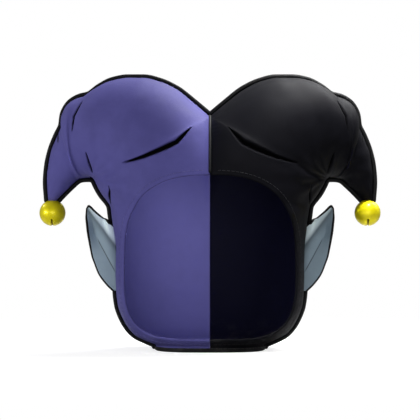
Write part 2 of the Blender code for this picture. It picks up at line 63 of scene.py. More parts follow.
# %% Read the main places
side_low, side_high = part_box("side_piping_left")
SEAM_Y = (side_low.y + side_high.y) / 2
hood_low, hood_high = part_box("hood_black")
bell_low, bell_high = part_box("bell_left")
BELL_RADIUS = (bell_high.z - bell_low.z) / 2
BELL_CENTRE = (bell_low + bell_high) / 2
tape_low, tape_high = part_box("hem_binding")
TAPE_HEIGHT = tape_high.z - tape_low.z
HEM_HEIGHT = hood_low.z
print("seam plane y:", round(SEAM_Y, 4), "bell radius:", round(BELL_RADIUS, 4))

# %% [markdown]
# ## The shape of one half
# Each half of the hood, horn included, is one piece of cloth that is drawn as a row of sections. The first
# sections are level and D-shaped. Then they fan round the armpit, the corner between hood and horn, and
# from the valley on they are closed rings that run down the horn to the bell. A short table for each
# stretch is easier to read and to change than a cloud of points, and curves through the rows make it
# smooth.

# %% Driving sizes of the hood and the horn
WALL = 0.0025
HOOD_HALF_WIDTH = 0.0935
FRONT_DEPTH = 0.092
BACK_DEPTH = 0.106
SPRING_HEIGHT = 0.120
CROWN_TOP = 0.2325
HOOD_SQUARENESS = 2.8
ARMPIT_OUT = 0.117
ARMPIT_HEIGHT = 0.1705
HORN_TOP = hood_high.z
HORN_REACH = hood_high.x
TIP_HEIGHT = 0.1490
TIP_WIDTH = 0.0084
HORN_SQUARENESS = 2.15
HORN_PEAK = 0.47
SPRING_SIDE = 1.027
TINY = 1e-6

# %% Tables of sections
# up and wide: shares of the height from hem to spring and of the half width
# front and back: shares of the two depths
HoodRow = namedtuple("HoodRow", "up wide front back")
HOOD_ROWS = [
    HoodRow(0.000, 0.578, 0.650, 0.620),
    HoodRow(0.031, 0.578, 0.650, 0.620),
    HoodRow(0.069, 0.679, 0.715, 0.690),
    HoodRow(0.115, 0.797, 0.785, 0.760),
    HoodRow(0.175, 0.872, 0.845, 0.820),
    HoodRow(0.242, 0.924, 0.890, 0.870),
    HoodRow(0.367, 0.982, 0.945, 0.930),
    HoodRow(0.500, 1.000, 0.975, 0.970),
    HoodRow(0.660, 1.002, 0.992, 0.992),
    HoodRow(0.830, 1.003, 1.000, 1.000),
    HoodRow(1.000, SPRING_SIDE, 1.000, 0.998),
]
# side_out, side_up: share of the way from the spring's side to the armpit
# centre_up: share of the way from the spring to the crown's top; peak: where a ring is deepest
CrownRow = namedtuple("CrownRow", "side_out side_up centre_up front back peak")
CROWN_ROWS = [
    CrownRow(0.10, 0.26, 0.142, 0.995, 0.990, 0.03),
    CrownRow(0.17, 0.46, 0.284, 0.973, 0.970, 0.07),
    CrownRow(0.31, 0.56, 0.427, 0.957, 0.945, 0.14),
    CrownRow(0.45, 0.63, 0.569, 0.935, 0.915, 0.22),
    CrownRow(0.58, 0.70, 0.702, 0.913, 0.885, 0.30),
    CrownRow(0.70, 0.78, 0.827, 0.891, 0.855, 0.37),
    CrownRow(0.80, 0.86, 0.924, 0.875, 0.830, 0.42),
    CrownRow(0.84, 0.89, 0.972, 0.862, 0.820, 0.44),
    CrownRow(0.87, 0.92, 0.993, 0.850, 0.812, 0.45),
    CrownRow(0.89, 0.94, 1.000, 0.840, 0.805, 0.46),
]
# under: along the underside from armpit to tip; top: along the outer seam
# bow: how far a ring leans to the tip
HornRow = namedtuple("HornRow", "under_out under_up top_out top_up front back bow")
HORN_ROWS = [
    HornRow(-0.040, 0.93, 0.098, 0.797, 0.600, 0.655, 0.00),
    HornRow(-0.025, 0.97, 0.207, 0.909, 0.590, 0.640, 0.01),
    HornRow(-0.012, 0.99, 0.307, 0.971, 0.575, 0.620, 0.02),
    HornRow(0.004, 1.01, 0.405, 1.000, 0.555, 0.600, 0.04),
    HornRow(0.026, 1.03, 0.503, 1.000, 0.535, 0.575, 0.07),
    HornRow(0.053, 1.04, 0.595, 0.979, 0.520, 0.550, 0.11),
    HornRow(0.090, 1.05, 0.675, 0.926, 0.505, 0.530, 0.15),
    HornRow(0.137, 1.05, 0.745, 0.860, 0.480, 0.500, 0.20),
    HornRow(0.192, 1.05, 0.798, 0.842, 0.500, 0.515, 0.17),
    HornRow(0.260, 1.04, 0.860, 0.790, 0.505, 0.515, 0.12),
    HornRow(0.328, 1.02, 0.898, 0.695, 0.500, 0.510, 0.08),
    HornRow(0.397, 0.98, 0.906, 0.615, 0.485, 0.495, 0.06),
    HornRow(0.465, 0.90, 0.935, 0.532, 0.500, 0.505, 0.04),
    HornRow(0.575, 0.73, 0.972, 0.405, 0.505, 0.505, 0.02),
    HornRow(0.712, 0.51, 0.993, 0.275, 0.505, 0.505, 0.01),
    HornRow(0.863, 0.25, 1.000, 0.148, 0.500, 0.500, 0.00),
    HornRow(1.000, 0.00, 0.9925, 0.000, 0.500, 0.500, 0.00),
]
Section = namedtuple("Section", "side_x side_z top_x top_z front back top_front top_back peak square bow")


# %% Turn the tables into sections in metres
def between(low, high, share):
    return low + (high - low) * share


def eased(share):
    """A share that starts and ends gently."""
    share = np.clip(share, 0, 1)
    return share * share * (3 - 2 * share)


def hood_sections():
    made = []
    for row in HOOD_ROWS:
        height = between(HEM_HEIGHT, SPRING_HEIGHT, row.up)
        front, back = row.front * FRONT_DEPTH, row.back * BACK_DEPTH
        made.append(Section(row.wide * HOOD_HALF_WIDTH, height, 0.0, height, front, back, front, back,
                            0.0, HOOD_SQUARENESS, 0.0))
    return made


def crown_sections():
    made = []
    for number, row in enumerate(CROWN_ROWS, 1):
        arch = math.sqrt(max(0.0, 1 - row.centre_up ** 2))
        made.append(Section(
            between(SPRING_SIDE * HOOD_HALF_WIDTH, ARMPIT_OUT, row.side_out),
            between(SPRING_HEIGHT, ARMPIT_HEIGHT, row.side_up),
            0.0, between(SPRING_HEIGHT, CROWN_TOP, row.centre_up),
            row.front * FRONT_DEPTH, row.back * BACK_DEPTH, arch * FRONT_DEPTH, arch * BACK_DEPTH,
            row.peak, between(HOOD_SQUARENESS, HORN_SQUARENESS, number / len(CROWN_ROWS)), 0.0))
    return made


def horn_sections():
    tip_out = HORN_REACH * HORN_ROWS[-1].top_out
    made = []
    for row in HORN_ROWS:
        side = (between(ARMPIT_OUT, tip_out - TIP_WIDTH, row.under_out),
                between(TIP_HEIGHT, ARMPIT_HEIGHT, row.under_up))
        top = (row.top_out * HORN_REACH, between(TIP_HEIGHT, HORN_TOP, row.top_up))
        span = math.dist(side, top)
        made.append(Section(*side, *top, row.front * span, row.back * span, 0.0, 0.0,
                            HORN_PEAK, HORN_SQUARENESS, row.bow * span))
    return made


ROWS = np.array(hood_sections() + crown_sections() + horn_sections())
VALLEY_ROW = len(HOOD_ROWS) + len(CROWN_ROWS) - 1
KINK_ROW = VALLEY_ROW + 8
print("sections:", len(ROWS), "the rings close at row", VALLEY_ROW)

# %% [markdown]
# ## A smooth skin through the sections
# A curve that never overshoots its points keeps the cloth from bulging between rows. The rows lie closer
# together beside a fold, so that a crease only a few millimetres wide gets enough points to be cut into
# the cloth.

# %% Curves through the rows
FINE_COLUMNS = 64
ROW_STEPS = 6
FOLD_STEPS = 10
PEAK_REACH = 1.5


def through(values, places):
    """Reads a smooth curve through evenly numbered values; it never goes past them."""
    rise = np.diff(values)
    before, after = rise[:-1], rise[1:]
    same_way = before * after > 0
    mean = np.where(same_way, 2 * before * after / np.where(same_way, before + after, 1), 0)
    slope = np.concatenate([[rise[0]], mean, [rise[-1]]])
    start = np.clip(places.astype(int), 0, len(values) - 2)
    t = places - start
    return (values[start] * (1 + 2 * t) * (1 - t) ** 2 + values[start + 1] * t ** 2 * (3 - 2 * t)
            + slope[start] * t * (1 - t) ** 2 + slope[start + 1] * t ** 2 * (t - 1))


def row_places():
    """Row numbers with fractions: many beside the valley and the horn's kink, fewer elsewhere."""
    places = []
    for row in range(len(ROWS) - 1):
        near_fold = row in (VALLEY_ROW - 4, VALLEY_ROW, VALLEY_ROW + 1, KINK_ROW - 1, KINK_ROW)
        steps = FOLD_STEPS if near_fold else ROW_STEPS
        places += [row + step / steps for step in range(steps)]
    return np.array(places + [len(ROWS) - 1.0])


PLACES = row_places()
FINE = {field: through(ROWS[:, i], PLACES) for i, field in enumerate(Section._fields)}
print("fine rows:", len(PLACES), "columns:", 2 * FINE_COLUMNS)


# %% Points of the skin
def half_skin(direction):
    """The points of one face of the skin, front for -1, row by row from the top seam to the side seam."""
    front = direction < 0
    depth = FINE["front" if front else "back"][:, None]
    top_depth = FINE["top_front" if front else "top_back"][:, None]
    power = FINE["square"][:, None]
    kept = np.clip(top_depth / depth, 0, 1)
    peak = FINE["peak"][:, None]
    reach = np.maximum(np.clip(1 - kept ** power, 0, 1) ** (1 / power), PEAK_REACH * peak * (kept > 0))
    kept = (1 - reach ** power) ** (1 / power)
    first = np.arctan2(reach, kept)
    column = np.linspace(0, 1, FINE_COLUMNS + 1)[None, :]
    angle = between(-first, np.pi / 2, column)
    sine, cosine = np.sin(angle), np.clip(np.cos(angle), 0, 1)
    radius = (np.abs(sine) ** power + cosine ** power) ** (-1 / power)
    lever = np.where(angle < 0, peak / np.maximum(reach, TINY), 1 - peak)
    along = peak + lever * radius * sine
    swell = radius * cosine
    top = np.stack([FINE["top_x"], FINE["top_z"]], 1)
    chord = np.stack([FINE["side_x"], FINE["side_z"]], 1) - top
    across = np.stack([-chord[:, 1], chord[:, 0]], 1) / np.linalg.norm(chord, axis=1)[:, None]
    flat = (top[:, None] + chord[:, None] * along[..., None]
            + across[:, None] * (FINE["bow"][:, None] * swell)[..., None])
    y = SEAM_Y + direction * np.maximum(0, depth * swell)
    return np.stack([np.maximum(flat[..., 0], 0), y, flat[..., 1]], 2)


# %% Round the crease beside the valley
VALLEY_REACH = 1.6
SOFT_ROUNDS = 60
SEAM_COLUMNS = 4


def softened(skin):
    """The same skin, rounded where the level sections turn into rings; its seams stay where they are."""
    column = np.arange(skin.shape[1])
    from_seam = np.minimum(np.minimum(column, abs(column - FINE_COLUMNS)), 2 * FINE_COLUMNS - column)
    near_valley = eased(1 - np.abs(PLACES - VALLEY_ROW) / VALLEY_REACH)
    weight = (near_valley[:, None] * eased(from_seam / SEAM_COLUMNS))[1:-1, :, None] / 2
    for _ in range(SOFT_ROUNDS):
        skin[1:-1] += weight * ((skin[:-2] + skin[2:]) / 2 - skin[1:-1])
    return skin


SKIN = softened(np.concatenate([half_skin(-1), half_skin(1)[:, -2::-1]], 1))
print("skin points:", SKIN.shape[0] * SKIN.shape[1])

# %% [markdown]
# ## Folds, puckers and a hand-made surface
# Cloth that turns a corner folds where it is squeezed. Here one long, deep fold runs from beside each
# armpit up to the forehead. Short narrow ones lie at the horn's kink and its end, and one drops from the
# armpit. Each fold is a short curve seen from the front. Points near it sink, straight back or along the
# skin's normal, and low lips rise beside it. No light reaches into a closed groove, so its points also get
# painted shade that darkens the cloth. Drag lines and a slow unevenness make the rest look sewn by hand.

# %% Fold table
# points: (share of the horn's reach, share of the valley's height)
# width: half the groove at its widest, which is at the share of its length named widest
# level: it sinks straight back, not along the normal; back: how much of it the back of the hood has
Fold = namedtuple("Fold", "name points width depth widest level back")
FOLDS = [
    Fold("forehead", [(0.522, 0.798), (0.460, 0.809), (0.394, 0.823), (0.279, 0.857), (0.200, 0.883),
                      (0.111, 0.947)], 0.0021, 0.0090, 0.62, True, 0.4),
    Fold("kink_upper", [(0.771, 1.066), (0.800, 1.030), (0.824, 0.997), (0.830, 0.957), (0.835, 0.928)],
         0.0009, 0.0030, 0.4, False, 0.9),
    Fold("kink_lower", [(0.753, 0.848), (0.736, 0.805), (0.713, 0.756)], 0.0009, 0.0034, 0.7, False, 0.9),
    Fold("under_kink", [(0.736, 0.742), (0.712, 0.722)], 0.0009, 0.0024, 0.6, False, 0.9),
    Fold("armpit", [(0.608, 0.706), (0.609, 0.670), (0.600, 0.622)], 0.0009, 0.0028, 0.6, False, 0.9),
    Fold("horn_end", [(0.932, 0.935), (0.931, 0.910), (0.928, 0.885)], 0.0006, 0.0006, 0.5, False, 0.9),
]
# the groove's shape, in units of half its width; its ends are narrower
END_WIDTH = 0.25
GROOVE_POWER = 2.4
LIP_SHARE = 0.04
LIP_PLACE = 2.6
LIP_WIDTH = 1.5
LOWER_LIP = 0.5
INNER_SPREAD = 2.2
# painted shade in a closed groove starts at this share of its depth and grows full over this much more of it
MARK_START = 0.10
MARK_SPAN = 0.32
MARK_TAPER = 0.25
FAR_AWAY = 9.0


def run_lengths(path):
    """How far along a path each of its points lies."""
    return np.concatenate([[0], np.cumsum(np.linalg.norm(np.diff(path, axis=0), axis=1))])


def near_fold(flat, fold):
    """For points seen from the front: the gap to a fold, below 0 on its lower side, and how far along."""
    line = np.array(fold.points) * (HORN_REACH, CROWN_TOP)
    lengths = run_lengths(line)
    gap, share = np.full(len(flat), FAR_AWAY), np.zeros(len(flat))
    for i in range(len(line) - 1):
        step = line[i + 1] - line[i]
        t = np.clip((flat - line[i]) @ step / (step @ step), 0, 1)
        away = flat - line[i] - t[:, None] * step
        size = np.linalg.norm(away, axis=1)
        closer = size < np.abs(gap)
        gap = np.where(closer, np.where(away[:, 1] < 0, -size, size), gap)
        share = np.where(closer, between(lengths[i], lengths[i + 1], t) / lengths[-1], share)
    return gap, share


def fold_shifts(points, normals):
    """How the folds move the outside and the inside of the cloth at each point, and their painted shade where
    closed.
    """
    front = points[:, 1] < SEAM_Y
    backwards = np.where(front, 1.0, -1.0)[:, None] * (0, 1, 0)
    outside, inside, closed = np.zeros_like(points), np.zeros_like(points), np.zeros(len(points))
    for fold in FOLDS:
        gap, share = near_fold(points[:, [0, 2]], fold)
        before, after = share / fold.widest / 2, 1 - (1 - share) / (1 - fold.widest) / 2
        skewed = np.where(share < fold.widest, before, after)
        taper = np.sin(np.pi * np.clip(skewed, 0, 1))
        share_here = np.where(front, 1.0, fold.back)
        depth = fold.depth * np.sqrt(taper) * share_here
        s = gap / (fold.width * (END_WIDTH + (1 - END_WIDTH) * taper))
        groove = np.exp(-np.abs(s) ** GROOVE_POWER)
        upper, lower = (np.exp(-((s + way * LIP_PLACE) / LIP_WIDTH) ** 2) for way in (-1, 1))
        lips = upper + LOWER_LIP * lower
        way = backwards if fold.level else -normals
        outside += way * (depth * (groove - LIP_SHARE * lips))[:, None]
        inside += way * (depth * np.exp(-(s / INNER_SPREAD) ** 2))[:, None]
        # painted shade: the points deep in a closed groove are darkened, where little light reaches
        groove_painted_shade = eased((groove - MARK_START) / MARK_SPAN) * eased(taper / MARK_TAPER)
        closed = np.maximum(closed, groove_painted_shade * share_here)
    return outside, inside, closed


# %% Puckers and unevenness
PUCKER = 0.00030
PUCKER_REACH = 0.006
PUCKER_STEP = 0.0085
DRAG = 0.0005
DRAG_LINES = 13
DRAG_PLACE = 0.022
DRAG_REACH = 0.045
DRAG_QUIET = 0.02
UNEVEN = 0.0009
SLOW_SCALE, SLOW_SHARE = 26, 0.8
QUICK_SCALE, QUICK_SHARE = 75, 0.25


def unevenness(points, seed):
    """Small rises of the cloth in metres: slow waves, drag lines from the armpit, puckers at the seams."""
    rises = np.zeros(len(points))
    for i, (x, y, z) in enumerate(points):
        slow = noise.noise(Vector((x + seed, y, z)) * SLOW_SCALE)
        quick = noise.noise(Vector((x + seed + 3, y, z)) * QUICK_SCALE)
        out, up = x - ARMPIT_OUT, z - ARMPIT_HEIGHT
        away = math.hypot(out, up)
        drag = math.sin(DRAG_LINES * math.atan2(up, out) + 3 * slow)
        drag *= math.exp(-abs(away - DRAG_PLACE) / DRAG_REACH) * min(1, away / DRAG_QUIET)
        seam_gap = min(x, abs(y - SEAM_Y))
        phase = 2 * math.pi * (x + y + z) / PUCKER_STEP
        pucker = math.sin(phase + 4 * slow) * math.exp(-seam_gap / PUCKER_REACH)
        rises[i] = UNEVEN * (SLOW_SHARE * slow + QUICK_SHARE * quick) + DRAG * drag + PUCKER * pucker
    return rises


# %% [markdown]
# ## From a skin to a cloth wall
# The opening for the face is cut out of the skin first, and the wall is thickened afterwards, so the cut
# edge stands square to the cloth as it does on a real hood. The edge is then rounded with three extra rows
# of points. Beside the seams and above the hem the folds and waves fade out, so that cords and tape lie
# close.

# %% Cut the face opening
OPENING_HALF_WIDTH = 0.0857
OPENING_TOP = 0.1745
OPENING_WAIST = 0.090
OPENING_BOTTOM = 0.0115
OPENING_ARCH_POWER = 2.6
OPENING_JAW_POWER = 3.9
RIM_SNAP = 0.25
RIM_ROUNDS = 18


def opening_field(point):
    """Below 0 where a point lies inside the face opening, as it is seen from the front."""
    if point[1] > SEAM_Y:
        return 1.0
    rise = point[2] - OPENING_WAIST
    height, power = ((OPENING_TOP - OPENING_WAIST, OPENING_ARCH_POWER) if rise > 0
                     else (OPENING_WAIST - OPENING_BOTTOM, OPENING_JAW_POWER))
    total = (abs(point[0]) / OPENING_HALF_WIDTH) ** power + (abs(rise) / height) ** power
    return total ** (1 / power) - 1


def rim_share(low, high):
    """How far along the line from low to high the edge of the opening lies."""
    inside_low = opening_field(low) < 0
    start, end = 0.0, 1.0
    for _ in range(RIM_ROUNDS):
        middle = (start + end) / 2
        if (opening_field(low + (high - low) * middle) < 0) == inside_low:
            start = middle
        else:
            end = middle
    return (start + end) / 2


def cut_opening(points, faces):
    """Cuts the opening out of a skin. Points that nearly touch its edge move onto it, to leave no slivers."""
    points = [np.array(point) for point in points]
    field = [opening_field(point) for point in points]
    edges = sorted({tuple(sorted((face[i], face[i - 1]))) for face in faces for i in range(len(face))
                    if field[face[i]] * field[face[i - 1]] < 0})
    for low, high in edges:
        if field[low] * field[high] < 0:
            share = rim_share(points[low], points[high])
            near, far = (low, high) if share < 0.5 else (high, low)
            leaves_seam = points[near][0] < TINY < points[far][0]
            if min(share, 1 - share) < RIM_SNAP and not leaves_seam:
                points[near] = points[low] + (points[high] - points[low]) * share
                field[near] = 0.0
    crossings = {}

    def crossing(one, other):
        key = (min(one, other), max(one, other))
        if key not in crossings:
            share = rim_share(points[key[0]], points[key[1]])
            points.append(points[key[0]] + (points[key[1]] - points[key[0]]) * share)
            crossings[key] = len(points) - 1
        return crossings[key]

    kept = []
    for face in faces:
        if min(field[i] for i in face) >= 0:
            kept.append(face)
        elif max(field[i] for i in face) > 0:
            outline = []
            for index, corner in enumerate(face):
                following = face[(index + 1) % len(face)]
                if field[corner] >= 0:
                    outline.append(corner)
                if field[corner] * field[following] < 0:
                    outline.append(crossing(corner, following))
            if len(outline) > 2:
                kept.append(outline)
    return np.array(points), kept


# %% Normals and the thickened wall
EDGE_SWELL = 0.42
EDGE_ROWS = 3


def skin_normals(points, faces):
    """A normal for each point, from the faces round it."""
    normals = np.zeros_like(points)
    for size in {len(face) for face in faces}:
        chosen = np.array([face for face in faces if len(face) == size])
        corners = points[chosen]
        area = sum(np.cross(corners[:, i] - corners[:, 0], corners[:, i + 1] - corners[:, 0])
                   for i in range(1, size - 1))
        for i in range(size):
            np.add.at(normals, chosen[:, i], area)
    return normals


def unit(vectors):
    return vectors / np.maximum(np.linalg.norm(vectors, axis=-1, keepdims=True), 1e-12)


def renumbered(count, faces):
    """The numbers of the points that the faces use, and the faces when only those points are kept."""
    used = np.unique(np.concatenate([np.array(face) for face in faces]))
    place = np.full(count, -1)
    place[used] = np.arange(len(used))
    return used, [[int(place[n]) for n in face] for face in faces]


def thicken(points, inner, faces, depth, square=None):
    """A closed wall between a skin and its inner points, its edge rounded except where square is true."""
    used, faces = renumbered(len(points), faces)
    outer, inward, count = points[used], (inner - points)[used], len(used)
    directed = {(face[i - 1], face[i]) for face in faces for i in range(len(face))}
    rim = [(a, b) for a, b in directed if (b, a) not in directed]
    away = np.zeros_like(outer)
    for a, b in rim:
        aside = np.cross(outer[b] - outer[a], -inward[a])
        away[a] += aside
        away[b] += aside
    away = unit(away) * depth * EDGE_SWELL
    if square is not None:
        away[square[used]] = 0
    ring = sorted({n for edge in rim for n in edge})
    number = {n: i for i, n in enumerate(ring)}
    rings = [outer[ring] + inward[ring] * (1 - math.cos(turn)) / 2 + away[ring] * math.sin(turn)
             for turn in (math.pi * step / (EDGE_ROWS + 1) for step in range(1, EDGE_ROWS + 1))]
    solid = faces + [[n + count for n in reversed(face)] for face in faces]
    for a, b in rim:
        chain_a = [a] + [2 * count + k * len(ring) + number[a] for k in range(EDGE_ROWS)] + [a + count]
        chain_b = [b] + [2 * count + k * len(ring) + number[b] for k in range(EDGE_ROWS)] + [b + count]
        solid += [[chain_b[k], chain_a[k], chain_a[k + 1], chain_b[k + 1]] for k in range(EDGE_ROWS + 1)]
    return np.concatenate([outer, outer + inward] + rings), solid, used


# %% Split the faces beside the folds
FOLD_NEAR = 0.0044
LONGEST_EDGE = 0.0010


def refined(points, faces, rounds=2):
    """The same skin with every face near a fold split finer, so that a narrow groove has points to bend."""
    work = bmesh.new()
    corners = [work.verts.new(point) for point in points]
    for face in faces:
        work.faces.new([corners[i] for i in face])
    for _ in range(rounds):
        flat = np.array([(corner.co.x, corner.co.z) for corner in work.verts])
        near = np.zeros(len(flat), bool)
        for fold in FOLDS:
            near |= np.abs(near_fold(flat, fold)[0]) < FOLD_NEAR
        work.verts.index_update()
        edges = [edge for edge in work.edges if near[edge.verts[0].index] and near[edge.verts[1].index]
                 and edge.calc_length() > LONGEST_EDGE]
        bmesh.ops.subdivide_edges(work, edges=edges, cuts=1, use_grid_fill=True)
    work.verts.index_update()
    points = np.array([tuple(corner.co) for corner in work.verts])
    faces = [[corner.index for corner in face.verts] for face in work.faces]
    work.free()
    return points, faces


# %% Build one half as a closed wall
SEAM_QUIET = 0.005
HEM_QUIET = 0.004
HEM_EASE = 0.01
INNER_RISE = 0.5
SEAM_GAP = 0.00002


def numbered(skin):
    """The number of each point of a skin when its rows follow one another."""
    rows, width = skin.shape[:2]
    return np.arange(rows * width).reshape(rows, width)


def grid_faces(number):
    """The faces between the rows of a grid of point numbers; a number twice in a face counts once."""
    faces = []
    for low, high in zip(number[:-1].tolist(), number[1:].tolist()):
        for i in range(len(low) - 1):
            face = [low[i], low[i + 1], high[i + 1], high[i]]
            faces.append([n for k, n in enumerate(face) if n != face[k - 1]])
    return faces


def half_skin_faces():
    """The faces of the skin of one half, closed into rings from the valley on, and capped at the tip."""
    number = numbered(SKIN)
    closed = PLACES >= VALLEY_ROW
    number[closed, -1] = number[closed, 0]
    return grid_faces(number) + [number[-1, :-1].tolist()]


def flat_at_edges(normals, points):
    """Unit normals that stay in the seam plane at the seam and level at the hem."""
    normals[points[:, 0] < TINY, 0] = 0
    normals[points[:, 2] < HEM_HEIGHT + TINY, 2] = 0
    return unit(normals)


# shades: the painted shade of the closed folds at each point
Wall = namedtuple("Wall", "points faces shades outer_count")


def half_wall(seed):
    """One half of the hood with its horn, on the wearer's left; its first outer_count faces are outside."""
    points, faces = cut_opening(SKIN.reshape(-1, 3), half_skin_faces())
    used, faces = renumbered(len(points), faces)
    points, faces = refined(points[used], faces)
    normals = flat_at_edges(skin_normals(points, faces), points)
    # closed: how much painted shade each point gets in a closed fold
    outer_fold, inner_fold, closed = fold_shifts(points, normals)
    above_hem = eased((points[:, 2] - HEM_HEIGHT - HEM_QUIET) / HEM_EASE)
    beside_seam = eased(np.minimum(points[:, 0], np.abs(points[:, 1] - SEAM_Y)) / SEAM_QUIET)
    quiet = (above_hem * beside_seam)[:, None]
    rise = unevenness(points, seed)[:, None]
    outer = points + (normals * rise + outer_fold) * quiet
    inner = points - normals * WALL + (normals * rise * INNER_RISE + inner_fold) * quiet
    square = (points[:, 0] < TINY) | (points[:, 2] < HEM_HEIGHT + TINY)
    wall, solid, used = thicken(outer, inner, faces, WALL, square)
    wall[:, 0] = np.maximum(wall[:, 0], SEAM_GAP)
    # only the outer points carry the folds' painted shade
    shades = np.zeros(len(wall))
    shades[:len(used)] = closed[used]
    return Wall(wall, solid, shades, len(faces))


LEFT_WALL, RIGHT_WALL = half_wall(0.0), half_wall(7.0)
print("left wall:", len(LEFT_WALL.points), "points,", len(LEFT_WALL.faces), "faces")

# %% [markdown]
# ## Cloth and metal
# Two halves of plain dyed cloth, their insides painted paler to stand in for light, a grey-blue cloth for the
# ears, black trimming, sewing thread and brass bells are all that the hood needs. The nap, the slow change of
# shade and the dust are used by several cloths, so they are two node groups, made once. A group only gives
# values and normals; the shine itself stays in each material. Where a mesh carries a mark, the cloth gets
# painted light or painted shade: the marks are put onto the points of the halves and the ears further on.


# %% Node group helpers
def new_group(name, inputs, outputs):
    """An empty shader node group with float inputs (name: default) and outputs (name: socket type)."""
    group = bpy.data.node_groups.new(name, "ShaderNodeTree")
    for label, default in inputs.items():
        socket = group.interface.new_socket(label, in_out="INPUT", socket_type="NodeSocketFloat")
        socket.default_value = default
    for label, kind in outputs.items():
        group.interface.new_socket(label, in_out="OUTPUT", socket_type=kind)
    return group, group.nodes.new("NodeGroupInput"), group.nodes.new("NodeGroupOutput")


def noise_node(tree, place, scale, detail, roughness=0.5):
    """A noise texture read at a place."""
    node = tree.nodes.new("ShaderNodeTexNoise")
    tree.links.new(place, node.inputs["Vector"])
    node.inputs["Scale"].default_value = scale
    node.inputs["Detail"].default_value = detail
    node.inputs["Roughness"].default_value = roughness
    return node.outputs["Fac"]


def maths(tree, operation, *values):
    """A maths node on sockets or numbers."""
    node = tree.nodes.new("ShaderNodeMath")
    node.operation = operation
    for socket, value in zip(node.inputs, values):
        if isinstance(value, (int, float)):
            socket.default_value = value
        else:
            tree.links.new(value, socket)
    return node.outputs["Value"]


def ranged(tree, value, low, high, new_low=0.0, new_high=1.0):
    """A value stretched smoothly from one range to another."""
    node = tree.nodes.new("ShaderNodeMapRange")
    node.interpolation_type = "SMOOTHSTEP"
    tree.links.new(value, node.inputs["Value"])
    for label, number in (("From Min", low), ("From Max", high), ("To Min", new_low), ("To Max", new_high)):
        node.inputs[label].default_value = number
    return node.outputs["Result"]


# %% Node group: woven nap
WOBBLE_SCALE, WOBBLE = 180, 1.6
NAP_SCALE = 1900
WEAVE_SHARE = 0.35
NAP_DEPTH = 0.0004


def nap_group():
    """Brushed weave: threads in two directions under a fine, tousled nap, as a normal and a mask."""
    group, given, made = new_group("woven_nap", {"Threads per metre": 900, "Strength": 0.3},
                                   {"Normal": "NodeSocketVector", "Nap": "NodeSocketFloat"})
    place = group.nodes.new("ShaderNodeTexCoord").outputs["Object"]
    parts = group.nodes.new("ShaderNodeSeparateXYZ")
    group.links.new(place, parts.inputs[0])
    turns = maths(group, "MULTIPLY", given.outputs["Threads per metre"], 2 * math.pi)
    wobble = maths(group, "MULTIPLY", noise_node(group, place, WOBBLE_SCALE, 2), WOBBLE)
    across = maths(group, "ADD", parts.outputs["X"], parts.outputs["Y"])
    warp = maths(group, "SINE", maths(group, "ADD", maths(group, "MULTIPLY", across, turns), wobble))
    upwards = maths(group, "MULTIPLY", parts.outputs["Z"], turns)
    weft = maths(group, "SINE", maths(group, "ADD", upwards, wobble))
    weave = maths(group, "MULTIPLY", warp, weft)
    nap = noise_node(group, place, NAP_SCALE, 3, 0.65)
    height = maths(group, "ADD", maths(group, "MULTIPLY", weave, WEAVE_SHARE), nap)
    bump = group.nodes.new("ShaderNodeBump")
    bump.inputs["Distance"].default_value = NAP_DEPTH
    group.links.new(given.outputs["Strength"], bump.inputs["Strength"])
    group.links.new(height, bump.inputs["Height"])
    group.links.new(bump.outputs["Normal"], made.inputs["Normal"])
    group.links.new(nap, made.inputs["Nap"])
    return group


NAP_GROUP = nap_group()


# %% Node group: worn shade
SLOW_WEAR, QUICK_WEAR, DUST_PATCHES = 14, 90, 60
SLOW_WEAR_SHARE, QUICK_WEAR_SHARE = 0.7, 0.3
SHADE_RANGE = (0.35, 0.65)
DUST_RANGE = (0.45, 0.75)
DUST_HEIGHT = 0.03


def wear_group():
    """Slow changes of a dyed cloth: shade where it was handled, and blotches of dust low down."""
    group, given, made = new_group("worn_shade", {"Dust height": DUST_HEIGHT},
                                   {"Shade": "NodeSocketFloat", "Dust": "NodeSocketFloat"})
    place = group.nodes.new("ShaderNodeTexCoord").outputs["Object"]
    slow = noise_node(group, place, SLOW_WEAR, 3, 0.55)
    quick = noise_node(group, place, QUICK_WEAR, 4, 0.6)
    blend = maths(group, "ADD", maths(group, "MULTIPLY", slow, SLOW_WEAR_SHARE),
                  maths(group, "MULTIPLY", quick, QUICK_WEAR_SHARE))
    group.links.new(ranged(group, blend, *SHADE_RANGE), made.inputs["Shade"])
    parts = group.nodes.new("ShaderNodeSeparateXYZ")
    group.links.new(place, parts.inputs[0])
    raised = maths(group, "DIVIDE", parts.outputs["Z"], given.outputs["Dust height"])
    low_down = maths(group, "SUBTRACT", 1.0, raised)
    patches = ranged(group, noise_node(group, place, DUST_PATCHES, 5, 0.7), *DUST_RANGE)
    dust = maths(group, "MULTIPLY", maths(group, "MAXIMUM", low_down, 0.0), patches)
    group.links.new(dust, made.inputs["Dust"])
    return group


WEAR_GROUP = wear_group()


# %% Material helpers
def new_material(name):
    """A material with its own Principled shader, and the tree and shader to work on."""
    made = bpy.data.materials.new(name)
    made.use_nodes = True
    return made, made.node_tree, made.node_tree.nodes["Principled BSDF"]


def use_group(tree, group, **values):
    node = tree.nodes.new("ShaderNodeGroup")
    node.node_tree = group
    for label, value in values.items():
        node.inputs[label.replace("_", " ")].default_value = value
    return node


def mixed(tree, share, first, second):
    """A colour mixed from two colours or sockets by a share; inputs 6 and 7 are the mix node's colours."""
    node = tree.nodes.new("ShaderNodeMix")
    node.data_type = "RGBA"
    tree.links.new(share, node.inputs["Factor"])
    for socket, value in ((node.inputs[6], first), (node.inputs[7], second)):
        if isinstance(value, tuple):
            socket.default_value = (*value, 1)
        else:
            tree.links.new(value, socket)
    return node.outputs[2]


def marked(tree, name):
    """The value that a mesh carries at each of its points under that name; 0 where it has none."""
    node = tree.nodes.new("ShaderNodeAttribute")
    node.attribute_name = name
    return node.outputs["Fac"]


